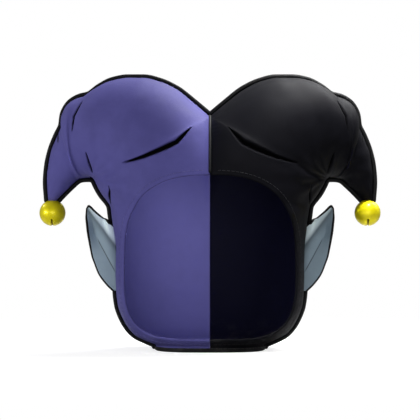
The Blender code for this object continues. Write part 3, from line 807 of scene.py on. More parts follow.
# deep, pale: the two shades; threads: for each metre; nap: how strong it is
Dye = namedtuple("Dye", "deep pale roughness shine sheen threads nap")
DUST_SHARE = 0.07
DUST_COLOUR = (0.45, 0.43, 0.40)
# painted shade: the colour that closed folds and the ears' dark marks are darkened to
PAINTED_SHADE_COLOUR = (0.0010, 0.0010, 0.0016)
FLECK_SHARE = 0.35
SMOOTHER, ROUGHER = 0.04, 0.05
SHEEN_ROUGHNESS = 0.35


def cloth(name, painted_light_colour=None):
    """A dyed cloth: two shades, a brushed weave, a soft sheen, hem dust, painted light and painted shade."""
    dye = DYES[name]
    made, tree, shader = new_material(name)
    nap = use_group(tree, NAP_GROUP, Threads_per_metre=dye.threads, Strength=dye.nap)
    worn = use_group(tree, WEAR_GROUP)
    dyed = mixed(tree, worn.outputs["Shade"], dye.deep, dye.pale)
    flecked = mixed(tree, maths(tree, "MULTIPLY", nap.outputs["Nap"], FLECK_SHARE), dyed, dye.pale)
    dust_and_painted_light = mixed(tree, maths(tree, "MULTIPLY", worn.outputs["Dust"], DUST_SHARE), flecked, DUST_COLOUR)
    # painted light: where a mesh asks for it, a paler colour is mixed in
    if painted_light_colour:
        dust_and_painted_light = mixed(tree, marked(tree, "painted_light_mark"), dust_and_painted_light, painted_light_colour)
    # painted shade: the cloth turns dark where the mesh's mark asks for it, and its shine is dulled there
    painted_shade_share = marked(tree, "painted_shade")
    tree.links.new(mixed(tree, painted_shade_share, dust_and_painted_light, PAINTED_SHADE_COLOUR), shader.inputs["Base Color"])
    rough = ranged(tree, worn.outputs["Shade"], 0, 1, dye.roughness - SMOOTHER, dye.roughness + ROUGHER)
    tree.links.new(maths(tree, "MAXIMUM", rough, painted_shade_share), shader.inputs["Roughness"])
    tree.links.new(nap.outputs["Normal"], shader.inputs["Normal"])
    shader.inputs["Specular IOR Level"].default_value = dye.shine
    shader.inputs["Sheen Weight"].default_value = dye.sheen
    shader.inputs["Sheen Roughness"].default_value = SHEEN_ROUGHNESS
    shader.inputs["Sheen Tint"].default_value = (*dye.pale, 1)
    return made


# %% Make the cloths
DYES = {
    "purple_cloth": Dye((0.074, 0.069, 0.240), (0.098, 0.092, 0.308), 0.60, 0.09, 0.02, 1100, 0.18),
    "black_cloth": Dye((0.0022, 0.0022, 0.0036), (0.0040, 0.0040, 0.0062), 0.60, 0.06, 0.0, 1100, 0.15),
    # the linings are painted paler than the outer cloth, to stand in for light inside the hood
    "purple_lining_painted_light": Dye((0.250, 0.238, 0.700), (0.280, 0.266, 0.760), 0.60, 0.10, 0.0, 1500, 0.10),
    "black_lining_painted_light": Dye((0.0085, 0.0085, 0.0240), (0.0110, 0.0110, 0.0290), 0.60, 0.05, 0.0, 1500, 0.10),
    "trim_cloth": Dye((0.0015, 0.0015, 0.0020), (0.0030, 0.0030, 0.0035), 0.60, 0.20, 0.0, 1600, 0.20),
    "ear_cloth": Dye((0.235, 0.315, 0.380), (0.295, 0.385, 0.455), 0.60, 0.20, 0.05, 1000, 0.20),
    "purple_thread": Dye((0.070, 0.064, 0.230), (0.130, 0.120, 0.380), 0.45, 0.4, 0.1, 4000, 0.30),
    "black_thread": Dye((0.006, 0.006, 0.008), (0.016, 0.016, 0.020), 0.45, 0.3, 0.1, 4000, 0.30),
}
# painted light: the paler colour for the ears' upper flank
EAR_PAINTED_LIGHT = (0.80, 0.95, 1.0)
PURPLE_CLOTH = cloth("purple_cloth")
BLACK_CLOTH = cloth("black_cloth")
# linings: painted light for the inside of the hood
PURPLE_LINING_PAINTED_LIGHT = cloth("purple_lining_painted_light")
BLACK_LINING_PAINTED_LIGHT = cloth("black_lining_painted_light")
TRIM_CLOTH = cloth("trim_cloth")
EAR_CLOTH = cloth("ear_cloth", EAR_PAINTED_LIGHT)
PURPLE_THREAD = cloth("purple_thread")
BLACK_THREAD = cloth("black_thread")


# %% Brass for the bells
DULL_SCALE, SCRATCH_SCALE = 130, 700
DULL_RANGE = (0.50, 0.75)
DULL_ROUGHER = 0.12
SCRATCH_DEPTH, SCRATCH_STRENGTH = 0.0002, 0.15
METALLIC, METAL_SHINE = 0.45, 0.2
LACQUER, LACQUER_ROUGHNESS = 0.3, 0.08


def brass(name, colour, dull_colour, roughness):
    """Thinly lacquered brass: a full yellow, with a few dull patches and fine scratches."""
    made, tree, shader = new_material(name)
    worn = use_group(tree, WEAR_GROUP)
    place = tree.nodes.new("ShaderNodeTexCoord").outputs["Object"]
    patches = ranged(tree, noise_node(tree, place, DULL_SCALE, 5, 0.6), *DULL_RANGE)
    tree.links.new(mixed(tree, patches, colour, dull_colour), shader.inputs["Base Color"])
    tree.links.new(ranged(tree, worn.outputs["Shade"], 0, 1, roughness, roughness + DULL_ROUGHER),
                   shader.inputs["Roughness"])
    shader.inputs["Metallic"].default_value = METALLIC
    shader.inputs["Specular IOR Level"].default_value = METAL_SHINE
    shader.inputs["Coat Weight"].default_value = LACQUER
    shader.inputs["Coat Roughness"].default_value = LACQUER_ROUGHNESS
    bump = tree.nodes.new("ShaderNodeBump")
    bump.inputs["Strength"].default_value = SCRATCH_STRENGTH
    bump.inputs["Distance"].default_value = SCRATCH_DEPTH
    tree.links.new(noise_node(tree, place, SCRATCH_SCALE, 4), bump.inputs["Height"])
    tree.links.new(bump.outputs["Normal"], shader.inputs["Normal"])
    return made


BELL_BRASS = brass("bell_brass", (0.88, 0.76, 0.004), (0.74, 0.62, 0.006), 0.33)
PELLET_BRASS = brass("pellet_brass", (0.60, 0.46, 0.05), (0.40, 0.30, 0.04), 0.45)
print("materials:", len(bpy.data.materials), "node groups:", len(bpy.data.node_groups))

# %% [markdown]
# ## From points to pieces
# Every piece is a mesh that rides on the hood's one body and takes the place of the solids that it dresses.
# Mirroring a mesh turns its faces inside out, so their corners are read backwards on that side. The halves
# carry two materials, one for the outside and one for the inside of the cloth, which is painted paler for
# light.


# %% Make a piece
def mirrored(points, faces):
    flipped = np.array(points) * (-1, 1, 1)
    return flipped, [face[::-1] for face in faces]


def new_piece(name, points, faces, finish, slot_name, *solids):
    """A smooth mesh that rides on the hood and takes the place of the named solids."""
    mesh = bpy.data.meshes.new(name)
    mesh.from_pydata([tuple(point) for point in points], [], [tuple(face) for face in faces])
    mesh.shade_smooth()
    mesh.materials.append(finish)
    piece = bpy.data.objects.new(name, mesh)
    bpy.context.collection.objects.link(piece)
    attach(piece, "root")
    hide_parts(*solids)
    return piece


# %% The two halves
purple_half = new_piece("purple_half", *mirrored(RIGHT_WALL.points, RIGHT_WALL.faces), PURPLE_CLOTH,
                        "felt_purple", "hood_purple")
black_half = new_piece("black_half", LEFT_WALL.points, LEFT_WALL.faces, BLACK_CLOTH,
                       "felt_black", "hood_black")


def mark_points(piece, name, values):
    """Gives each point of a piece a value that its material can read by name."""
    marks = piece.data.attributes.new(name, "FLOAT", "POINT")
    marks.data.foreach_set("value", values.astype(np.float32))


def line_half(piece, wall, lining):
    """Painted shade for a half's closed folds; its inside gets the lining, painted paler to stand in for
    light.
    """
    mark_points(piece, "painted_shade", wall.shades)
    mesh = piece.data
    mesh.materials.append(lining)
    inside = np.zeros(len(wall.faces), np.int32)
    inside[wall.outer_count:2 * wall.outer_count] = 1
    mesh.polygons.foreach_set("material_index", inside)
    print(piece.name, "triangles:", sum(len(face.vertices) - 2 for face in mesh.polygons))


line_half(purple_half, RIGHT_WALL, PURPLE_LINING_PAINTED_LIGHT)
line_half(black_half, LEFT_WALL, BLACK_LINING_PAINTED_LIGHT)

# %% [markdown]
# ## Corded seams
# Piping is a strip of cloth folded round a cord and caught in the seam, so only a round bead shows. It is
# drawn as a tube that follows the seam line and lies just outside the cloth. The rows of the skin already
# hold the seam lines: their middle column is the side seam, and their first and last ones are the centre
# seam or, where the rows are closed rings, the horn seam.

# %% Read the seam lines
CORD_FULLNESS = 1.15
PIPING_RADIUS = (side_high.y - side_low.y) / 2 * CORD_FULLNESS
CENTRE_CORD_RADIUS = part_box("seam_piping_centre")[1].x
CORD_LIFT = -0.0002
CORD_SEAT = 0.8
CORD_START = 0.0008
CORD_STEP = 0.0012
CORD_SIDES = 12
CAP_ANGLES = (8, 30, 60)
ANY_WAY = (0.31, 0.52, 0.79)


def tube(path, radius, sides=CORD_SIDES):
    """A round cord along a path, with rounded ends, as points and faces."""
    path = np.array(path, float)
    ahead = unit(np.gradient(path, axis=0))
    cap = [(math.cos(turn), math.sin(turn)) for turn in np.radians(CAP_ANGLES)]
    stations = [(path[0] - ahead[0] * radius * far, ahead[0], radius * wide) for far, wide in cap]
    stations += [(path[i], ahead[i], radius) for i in range(len(path))]
    stations += [(path[-1] + ahead[-1] * radius * far, ahead[-1], radius * wide) for far, wide in cap[::-1]]
    across = np.cross(ahead[0], ANY_WAY)
    points, faces = [], []
    turns = np.linspace(0, 2 * np.pi, sides, endpoint=False)
    for centre, forward, wide in stations:
        across = across - forward * (across @ forward)
        across /= np.linalg.norm(across)
        beside = np.cross(forward, across)
        points += [centre + (across * math.cos(turn) + beside * math.sin(turn)) * wide for turn in turns]
    for i in range(len(stations) - 1):
        for side in range(sides):
            near, beyond = i * sides + side, i * sides + (side + 1) % sides
            faces.append([near, beyond, beyond + sides, near + sides])
    faces.append(list(range(sides))[::-1])
    faces.append([(len(stations) - 1) * sides + side for side in range(sides)])
    return np.array(points), faces


def even_path(path, step):
    """The same path with points an even step apart."""
    path = np.array(path, float)
    lengths = run_lengths(path)
    count = max(2, int(lengths[-1] / step) + 1)
    places = np.linspace(0, lengths[-1], count)
    return np.stack([np.interp(places, lengths, path[:, axis]) for axis in range(3)], 1)


def lifted(edge, cores, distance):
    """The path that runs that distance outside a seam whose inner side lies towards the cores."""
    ahead = unit(np.gradient(edge, axis=0))
    out = edge - cores
    out = unit(out - ahead * np.sum(out * ahead, axis=1, keepdims=True))
    return edge + out * distance


def cut_off(path, keep):
    """The path's points for which keep is above 0, with its ends drawn exactly to where it is 0."""
    path = [np.array(point) for point in path]
    kept = []
    for before, after in zip(path[:-1], path[1:]):
        first, second = keep(before), keep(after)
        if first > 0:
            kept.append(before)
        if first * second < 0:
            kept.append(before + (after - before) * first / (first - second))
    if keep(path[-1]) > 0:
        kept.append(path[-1])
    return np.array(kept)


# %% Side and horn cords
closed_rows = PLACES >= VALLEY_ROW
side_line = SKIN[:, FINE_COLUMNS]
top_line = SKIN[:, 0].copy()
middle_line = np.stack([FINE["top_x"], np.full(len(PLACES), SEAM_Y), FINE["top_z"]], 1)
top_line[~closed_rows] = middle_line[~closed_rows]
cord_reach = PIPING_RADIUS + CORD_LIFT
TAPE_TUCK = 0.0029
BELL_TUCK = 0.0018


def above_tape(point):
    """Above 0 where a cord is still free of the hem tape; its end is tucked in a little."""
    return point[2] - HEM_HEIGHT - TAPE_HEIGHT + TAPE_TUCK


def short_of_bell(point):
    """Above 0 where a cord is still free of the bell."""
    return math.dist(point, BELL_CENTRE) - BELL_RADIUS - PIPING_RADIUS + BELL_TUCK


side_cord = cut_off(lifted(side_line, top_line, cord_reach), above_tape)
side_cord = even_path(cut_off(side_cord, short_of_bell), CORD_STEP)
horn_rows = SKIN[closed_rows]
horn_cord = lifted(horn_rows[:, 0], horn_rows[:, FINE_COLUMNS], cord_reach)
horn_cord = cut_off(horn_cord, lambda point: point[0] - CORD_START)
horn_cord = even_path(cut_off(horn_cord, short_of_bell), CORD_STEP)
for side, sign in (("left", 1), ("right", -1)):
    for path, part in ((side_cord, "side"), (horn_cord, "horn")):
        shape = tube(path, PIPING_RADIUS)
        shape = shape if sign > 0 else mirrored(*shape)
        new_piece(f"{part}_cord_{side}", *shape, TRIM_CLOTH, "trim_black", f"{part}_piping_{side}")
print("side cord points:", len(side_cord), "horn cord points:", len(horn_cord))

# %% Centre cord
RIM_TUCK = 0.001
open_rows = SKIN[~closed_rows]
front_line, back_line = open_rows[:, 0], open_rows[:, -1]
front_line = front_line[front_line[:, 2] > OPENING_TOP - RIM_TUCK]
valley = np.array([0, SEAM_Y, CROWN_TOP])
centre_line = np.concatenate([front_line, [valley], back_line[::-1]])
core_height = np.minimum(centre_line[:, 2], SPRING_HEIGHT)
cores = np.stack([np.zeros(len(centre_line)), np.full(len(centre_line), SEAM_Y), core_height], 1)
centre_cord = lifted(centre_line, cores, CENTRE_CORD_RADIUS * CORD_SEAT)


def above_opening(point):
    """Above 0 over the face opening and everywhere at the back."""
    return OPENING_TOP + 1 if point[1] > SEAM_Y else point[2] - OPENING_TOP


centre_cord = even_path(cut_off(cut_off(centre_cord, above_opening), above_tape), CORD_STEP)
centre_tube = tube(centre_cord, CENTRE_CORD_RADIUS)
new_piece("centre_cord", *centre_tube, TRIM_CLOTH, "trim_black", "seam_piping_centre")
print("centre cord points:", len(centre_cord))

# %% [markdown]
# ## The bound hem
# A tape is folded over the raw edge at the neck, half outside and half inside, and stitched through. Its
# section is a U with a round bottom, and it runs all the way round the hem, below the face opening too. The
# hood stands on this fold.

# %% Hem tape
TAPE_WALL = 0.001
TAPE_GAP = 0.0003
TAPE_ROUND = 0.0016
TAPE_TURNS = 13
LIP_ROUND = 0.3


def hem_tape():
    """A tape folded round the hem: rings of a U-shaped section, all the way round."""
    half = SKIN[0]
    ring = np.concatenate([half, (half * (-1, 1, 1))[-2:0:-1]])
    along = np.roll(ring, -1, axis=0) - np.roll(ring, 1, axis=0)
    out = unit(np.stack([-along[:, 1], along[:, 0], np.zeros(len(ring))], 1))
    facing = np.sign(np.sum(out * (ring - (0, SEAM_Y, HEM_HEIGHT)), axis=1, keepdims=True))
    out = out * facing
    outside, inside = TAPE_GAP + TAPE_WALL, -WALL - TAPE_GAP - TAPE_WALL
    middle, half_width = (outside + inside) / 2, (outside - inside) / 2
    lip = TAPE_WALL / 2
    profile = [(middle - half_width * math.cos(turn), TAPE_ROUND * (1 - math.sin(turn)))
               for turn in np.linspace(0, np.pi, TAPE_TURNS)]
    profile += [(outside, TAPE_HEIGHT - lip), (outside - LIP_ROUND * lip, TAPE_HEIGHT - LIP_ROUND * lip),
                (outside - lip, TAPE_HEIGHT), (TAPE_GAP, TAPE_HEIGHT - lip), (TAPE_GAP, TAPE_WALL),
                (-WALL - TAPE_GAP, TAPE_WALL), (-WALL - TAPE_GAP, TAPE_HEIGHT - lip),
                (inside + lip, TAPE_HEIGHT), (inside + LIP_ROUND * lip, TAPE_HEIGHT - LIP_ROUND * lip),
                (inside, TAPE_HEIGHT - lip)]
    size = len(profile)
    points = [(place[0] + way[0] * across, place[1] + way[1] * across, height)
              for place, way in zip(ring, out) for across, height in profile]
    faces = []
    for i in range(len(ring)):
        after = (i + 1) % len(ring)
        faces += [[i * size + k, after * size + k, after * size + (k + 1) % size, i * size + (k + 1) % size]
                  for k in range(size)]
    return points, faces


hem_piece = new_piece("hem_tape", *hem_tape(), TRIM_CLOTH, "trim_black", "hem_binding")
print("hem tape faces:", len(hem_piece.data.polygons))

# %% [markdown]
# ## Stitches
# A row of stitches holds the turned edge of the face opening, and another one goes through the hem tape. A
# stitch is a short thread whose ends dip into the cloth. The cloth is felt for with rays from the front, so
# the thread follows every wave of it.

# %% Rows of stitches
STITCH_LENGTH = 0.0031
STITCH_PITCH = 0.0044
STITCH_RADIUS = 0.00028
STITCH_RISE = 0.7
STITCH_DIP = 0.00035
STITCH_POINTS = 6
STITCH_SIDES = 6
RIM_MARGIN = 0.0034
RIM_STEP = 0.001
RIM_TURNS = 400
SEAM_MARGIN = 0.004


def joined(shapes):
    """Several shapes as one: their points and faces in one list each."""
    points, faces = [], []
    for more_points, more_faces in shapes:
        faces += [[n + len(points) for n in face] for face in more_faces]
        points += list(more_points)
    return np.array(points), faces


def stitch_row(path, normals):
    """Stitches along a path that lies on the cloth, with the cloth's normal at each of its points."""
    lengths = run_lengths(path)
    shapes = []
    for start in np.arange(0, lengths[-1] - STITCH_LENGTH, STITCH_PITCH):
        share = np.linspace(0, 1, STITCH_POINTS)
        places = start + share * STITCH_LENGTH
        centre = np.stack([np.interp(places, lengths, path[:, axis]) for axis in range(3)], 1)
        out = unit(np.stack([np.interp(places, lengths, normals[:, axis]) for axis in range(3)], 1))
        height = STITCH_RADIUS * STITCH_RISE - STITCH_DIP * (2 * share - 1) ** 4
        shapes.append(tube(centre + out * height[:, None], STITCH_RADIUS, STITCH_SIDES))
    return joined(shapes)


def rim_path(wall):
    """A path on the cloth beside the face opening, all the way up it, and the cloth's normals there."""
    felt = BVHTree.FromPolygons(wall.points.tolist(), wall.faces)
    turns = np.linspace(-np.pi / 2, np.pi / 2, RIM_TURNS)
    power = np.where(turns > 0, OPENING_ARCH_POWER, OPENING_JAW_POWER)
    height = np.where(turns > 0, OPENING_TOP - OPENING_WAIST, OPENING_WAIST - OPENING_BOTTOM) + RIM_MARGIN
    x = (OPENING_HALF_WIDTH + RIM_MARGIN) * np.cos(turns) ** (2 / power)
    z = OPENING_WAIST + height * np.sign(turns) * np.abs(np.sin(turns)) ** (2 / power)
    places = even_path(np.stack([x, np.full(len(x), -1.0), z], 1), RIM_STEP)
    hits = [felt.ray_cast(Vector(place), Vector((0, 1, 0))) for place in places if place[0] > SEAM_MARGIN]
    hits = [hit for hit in hits if hit[0] is not None and hit[0].y < SEAM_Y]
    return np.array([tuple(hit[0]) for hit in hits]), np.array([tuple(hit[1]) for hit in hits])


left_row, right_row = stitch_row(*rim_path(LEFT_WALL)), mirrored(*stitch_row(*rim_path(RIGHT_WALL)))
new_piece("rim_stitches_left", *left_row, BLACK_THREAD, "felt_black", "hood_black")
new_piece("rim_stitches_right", *right_row, PURPLE_THREAD, "felt_purple", "hood_purple")
STITCH_UP = 0.62
tape_line = SKIN[0] + (0, 0, TAPE_HEIGHT * STITCH_UP)
tape_line = np.concatenate([tape_line, (tape_line * (-1, 1, 1))[-2::-1]])
tape_away = np.gradient(tape_line, axis=0)[:, [1, 0, 2]] * (1, -1, 0)
tape_away *= np.sign(np.sum(tape_away * (tape_line - (0, SEAM_Y, 0)), axis=1, keepdims=True))
tape_away = unit(tape_away)
tape_row = stitch_row(tape_line + tape_away * (TAPE_GAP + TAPE_WALL), tape_away)
new_piece("tape_stitches", *tape_row, BLACK_THREAD, "trim_black", "hem_binding")
print("stitch faces:", len(left_row[1]), len(right_row[1]), len(tape_row[1]))

# %% [markdown]
# ## Ears
# Each ear is a stiff leaf of grey-blue cloth with a black edging, sewn flat against the side seam. It is
# cupped along a crease from root to tip, so its two flanks catch the light differently, and its top leans
# backwards. The edging is a thin cord that ends in a small point over the tip. Light and shade are also
# painted on: painted light above the ridge, painted shade right below it, and a thin line of painted shade
# in the crease. These are marks on the leaf's points, which the cloth's material turns into colour.

# %% Ear table
EAR_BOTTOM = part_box("ear_left")[0].z
EAR_TOP = 0.1420
EAR_REACH = 0.0244
EAR_SWEEP = 0.012
EAR_CUP = 0.008
EAR_LEAN = 0.014
EAR_LEAN_START = 0.2
EAR_RIDGE_FOOT = 0.099
EAR_THICKNESS = 0.0028
EAR_EDGING_RADIUS = 0.0013
EAR_POINT = 0.0012
EAR_SEAM_GAP = 0.0008
EAR_ROOT_GAP = 0.0003
EAR_ROOT_Y = side_low.y - EAR_SEAM_GAP - EAR_THICKNESS
# up: share of the ear's height; inner, outer: how far its two edges reach out; crease: where its fold lies
EarRow = namedtuple("EarRow", "up inner outer crease")
EAR_ROWS = [
    EarRow(0.00, 0.00, 0.08, 0.50),
    EarRow(0.08, 0.00, 0.35, 0.35),
    EarRow(0.20, 0.00, 0.65, 0.20),
    EarRow(0.31, 0.00, 0.80, 0.27),
    EarRow(0.43, 0.00, 0.93, 0.47),
    EarRow(0.57, 0.00, 0.985, 0.70),
    EarRow(0.70, 0.00, 0.995, 0.82),
    EarRow(0.75, 0.00, 0.99, 0.82),
    EarRow(0.81, 0.20, 0.985, 0.79),
    EarRow(0.88, 0.47, 0.98, 0.72),
    EarRow(0.94, 0.715, 0.965, 0.60),
    EarRow(1.00, 0.905, 0.94, 0.50),
]
EAR_STEPS = 12
EAR_FLANK = 20


# %% Ear sheet
SIDE_ROWS = 200


def side_out(height):
    """How far out the hood's side seam is at a height."""
    return np.interp(height, side_line[:SIDE_ROWS, 2], side_line[:SIDE_ROWS, 0])


def ear_skin():
    """The front face of an ear, row by row from its root to its tip; the middle column is the crease."""
    table = np.array(EAR_ROWS)
    places = np.linspace(0, len(table) - 1, (len(table) - 1) * EAR_STEPS + 1)
    up, inner, outer, crease = (through(table[:, i], places)[:, None] for i in range(4))
    height = between(EAR_BOTTOM, EAR_TOP, up)
    root = side_out(height) + EAR_ROOT_GAP
    flank = np.linspace(0, 1, EAR_FLANK + 1)[None, :]
    share = np.concatenate([flank * crease, (crease + flank * (1 - crease))[:, 1:]], 1)
    to_crease = np.concatenate([np.broadcast_to(flank, (len(up), EAR_FLANK + 1)),
                                np.broadcast_to(1 - flank[:, 1:], (len(up), EAR_FLANK))], 1)
    gone = between(inner, outer, share)
    cupped = EAR_CUP * (outer - inner) * (1 - to_crease) * gone
    ridge = between(EAR_RIDGE_FOOT, EAR_TOP, gone / EAR_ROWS[-1].outer)
    free = eased((gone - EAR_LEAN_START) / EAR_LEAN_START)
    lean = EAR_LEAN * np.maximum(0, (height - ridge) / (EAR_TOP - EAR_RIDGE_FOOT)) * free
    y = EAR_ROOT_Y + EAR_SWEEP * gone ** 2 - cupped + lean
    return np.stack([root + gone * EAR_REACH, y, np.broadcast_to(height, gone.shape)], 2)


EAR_SKIN = ear_skin()
EAR_POINTS = EAR_SKIN.reshape(-1, 3)
EAR_FACES = grid_faces(numbered(EAR_SKIN))
EAR_NORMALS = unit(skin_normals(EAR_POINTS, EAR_FACES))
EDGING_STEP = 0.0006
EDGING_START = 0.0006
EDGE_COLUMNS = 3


def ear_wall():
    """The leaf with its thickness, as points and faces."""
    inner = EAR_POINTS - EAR_NORMALS * EAR_THICKNESS
    return thicken(EAR_POINTS, inner, EAR_FACES, EAR_THICKNESS)[:2]


def ear_edge():
    """The path of the edging: up the outer edge, over the tip and down the inner edge to the hood."""
    free = int(np.argmax(EAR_SKIN[:, 0, 0] - side_out(EAR_SKIN[:, 0, 2]) > EDGING_START))
    middle = EAR_SKIN - EAR_NORMALS.reshape(EAR_SKIN.shape) * EAR_THICKNESS / 2
    seat = EAR_EDGING_RADIUS * CORD_SEAT
    outer = lifted(middle[:, -1], middle[:, -1 - EDGE_COLUMNS], seat)
    upper = lifted(middle[free:, 0], middle[free:, EDGE_COLUMNS], seat)[::-1]
    point = (outer[-1] + upper[0]) / 2 + (0, 0, EAR_POINT)
    return even_path(np.concatenate([outer[:-2], [point], upper[2:]]), EDGING_STEP)


# %% Paint light and shade onto the ears
# ends: (metres out from the middle, metres up), as seen from the front
RIDGE = ((0.0900, 0.0990), (0.1215, 0.1400))
CREASE = ((0.0930, 0.0750), (0.1145, 0.1140))
# painted shade along the crease and under the ridge, painted light above the ridge
CREASE_WIDTH = 0.00045
CREASE_PAINTED_SHADE = 0.85
CREASE_FADE = 5
BAND = 0.004
RIDGE_PAINTED_SHADE = 0.5
RIDGE_PAINTED_LIGHT = 0.4
RIDGE_BLUR = 0.0022


def off_line(points, line):
    """How far points lie above a line seen from the front, and how far along it they are."""
    start, way = np.array(line[0]), np.array(line[1]) - line[0]
    flat = points[:, [0, 2]] - start
    along = flat @ way / (way @ way)
    return (flat[:, 1] * way[0] - flat[:, 0] * way[1]) / np.linalg.norm(way), along


def paint_ear_light_and_shade(piece):
    """Painted light above the ridge, painted shade just below it, and a thin line of painted shade in the
    crease.
    """
    points = np.array([tuple(corner.co) for corner in piece.data.vertices])
    points[:, 0] = np.abs(points[:, 0])
    above, _ = off_line(points, RIDGE)
    # painted light: the flank above the ridge is made paler, as if lit from above
    upper_side = eased(above / RIDGE_BLUR + 0.5)
    painted_light = upper_side * between(RIDGE_PAINTED_LIGHT, 1.0, eased(above / BAND))
    gap, along = off_line(points, CREASE)
    faded = eased(CREASE_FADE * along) * eased(CREASE_FADE * (1 - along))
    # painted shade: a thin dark line in the crease and a dark band just under the ridge
    line = CREASE_PAINTED_SHADE * np.exp(-(gap / CREASE_WIDTH) ** 2) * faded
    painted_shade_under_ridge = RIDGE_PAINTED_SHADE * np.exp(-(above / BAND) ** 2) * (1 - upper_side)
    mark_points(piece, "painted_light_mark", painted_light)
    mark_points(piece, "painted_shade", np.maximum(line, painted_shade_under_ridge))


for side, sign in (("left", 1), ("right", -1)):
    leaf, edging = ear_wall(), tube(ear_edge(), EAR_EDGING_RADIUS)
    if sign < 0:
        leaf, edging = mirrored(*leaf), mirrored(*edging)
    paint_ear_light_and_shade(new_piece(f"ear_leaf_{side}", *leaf, EAR_CLOTH, "felt_grey_blue", f"ear_{side}"))
    new_piece(f"ear_edging_{side}", *edging, TRIM_CLOTH, "trim_black", f"ear_piping_{side}")
print("ear skin:", EAR_SKIN.shape)

# %% [markdown]
# ## Bells
# A jingle bell is a thin brass ball, cut crosswise underneath so that its pellet can be heard, and sewn to
# the horn's end. The pellet rests on the crossing of the slots.

# %% Bell and pellet
BELL_WALL = 0.0009
BELL_FULLNESS = 0.0003
SLOT_WIDTH = 0.0024
SLOT_HOLE_SHARE = 0.9
SLOT_END = math.radians(62)
BELL_TOP_ANGLE = math.radians(167)
QUARTER_STEPS = 14
SLOT_ROWS = 11
TOP_ROWS = 21
pellet_low, pellet_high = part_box("bell_pellet_left")
PELLET_CENTRE = (pellet_low + pellet_high) / 2
PELLET_RADIUS = (pellet_high.z - pellet_low.z) / 2


def bell_ball():
    """A hollow ball round its own centre, with a cross of slots underneath."""
    quarter = math.pi / 2
    radius = BELL_RADIUS + BELL_FULLNESS
    start = math.asin(SLOT_HOLE_SHARE * SLOT_WIDTH / radius)
    angles = list(np.linspace(start, SLOT_END, SLOT_ROWS + 1))
    angles += list(np.linspace(SLOT_END, BELL_TOP_ANGLE, TOP_ROWS + 1)[1:])
    points, faces = [], []
    for angle in angles:
        half_slot = math.asin(min(1.0, SLOT_WIDTH / 2 / (radius * math.sin(min(angle, SLOT_END)))))
        for turn in range(4):
            for about in np.linspace(half_slot, quarter - half_slot, QUARTER_STEPS) + quarter * turn:
                points.append((radius * math.cos(about) * math.sin(angle),
                               radius * math.sin(about) * math.sin(angle), -radius * math.cos(angle)))
    around = 4 * QUARTER_STEPS
    for level in range(len(angles) - 1):
        for column in range(around):
            if level < SLOT_ROWS and column % QUARTER_STEPS == QUARTER_STEPS - 1:
                continue
            low, beside = level * around + column, level * around + (column + 1) % around
            faces.append([low, beside, beside + around, low + around])
    faces.append(list(range((len(angles) - 1) * around, len(angles) * around)))
    points = np.array(points)
    return thicken(points, points - unit(points) * BELL_WALL, faces, BELL_WALL)[:2]


def plain_ball(radius, columns=28, levels=18):
    """A solid ball round its own centre."""
    points = [(0, 0, -radius)]
    turns = np.linspace(0, 2 * np.pi, columns, endpoint=False)
    for level in range(1, levels):
        angle = math.pi * level / levels
        wide, height = radius * math.sin(angle), -radius * math.cos(angle)
        points += [(wide * math.cos(turn), wide * math.sin(turn), height) for turn in turns]
    points.append((0, 0, radius))
    faces = [[0, 1 + (c + 1) % columns, 1 + c] for c in range(columns)]
    for level in range(levels - 2):
        low = 1 + level * columns
        faces += [[low + c, low + (c + 1) % columns, low + columns + (c + 1) % columns, low + columns + c]
                  for c in range(columns)]
    top = 1 + (levels - 2) * columns
    faces += [[top + c, top + (c + 1) % columns, len(points) - 1] for c in range(columns)]
    return np.array(points), faces


for side, sign in (("left", 1), ("right", -1)):
    ball_points, ball_faces = bell_ball()
    new_piece(f"brass_bell_{side}", ball_points + np.array(BELL_CENTRE) * (sign, 1, 1), ball_faces,
              BELL_BRASS, "bell_gold", f"bell_{side}")
    pellet_points, pellet_faces = plain_ball(PELLET_RADIUS)
    new_piece(f"brass_pellet_{side}", pellet_points + np.array(PELLET_CENTRE) * (sign, 1, 1), pellet_faces,
              PELLET_BRASS, "bell_gold", f"bell_pellet_{side}")

# %% [markdown]
# ## Stage, light and camera
# The hood stands on a disc of pale paper that fades into a white room, so no horizon crosses the picture.
# Like a light table, the paper glows a little, but only for the eye: the hood isn't lit by it. The white
# room is for the eye only as well. As light it is dim, and the black cloth stays black. Three large soft
# lamps do the work. One behind and above draws the horns' tops, a wide one at the front fills the face
# opening, and one from the left rounds the purple half. Four small ones help: a glint for each bell, a
# narrow beam up into the opening as a reflector card would give, and a beam on the black horn, whose cloth
# shows its form only by a shine.


# %% Floor disc
FLOOR_RADIUS = 0.80
FLOOR_CORNERS = 96
FLOOR_FADE_START = 0.20
FLOOR_FADE_END = FLOOR_RADIUS * 0.98
TABLE_GLOW = 0.75
PAPER_COLOUR = (0.55, 0.55, 0.55)
PAPER_ROUGHNESS = 0.9


def paper_floor():
    """A round pale floor whose edge fades away."""
    turns = np.linspace(0, 2 * np.pi, FLOOR_CORNERS, endpoint=False)
    points = [(FLOOR_RADIUS * math.cos(turn), FLOOR_RADIUS * math.sin(turn), 0) for turn in turns]
    mesh = bpy.data.meshes.new("paper_floor")
    mesh.from_pydata(points, [], [list(range(len(points)))])
    made, tree, shader = new_material("white_paper")
    shader.inputs["Base Color"].default_value = (*PAPER_COLOUR, 1)
    shader.inputs["Roughness"].default_value = PAPER_ROUGHNESS
    shader.inputs["Emission Color"].default_value = (1, 1, 1, 1)
    seen = tree.nodes.new("ShaderNodeLightPath").outputs["Is Camera Ray"]
    tree.links.new(maths(tree, "MULTIPLY", seen, TABLE_GLOW), shader.inputs["Emission Strength"])
    place = tree.nodes.new("ShaderNodeTexCoord").outputs["Object"]
    length = tree.nodes.new("ShaderNodeVectorMath")
    length.operation = "LENGTH"
    tree.links.new(place, length.inputs[0])
    fade = ranged(tree, length.outputs["Value"], FLOOR_FADE_START, FLOOR_FADE_END, 1.0, 0.0)
    tree.links.new(fade, shader.inputs["Alpha"])
    mesh.materials.append(made)
    floor = bpy.data.objects.new("paper_floor", mesh)
    bpy.context.collection.objects.link(floor)


paper_floor()


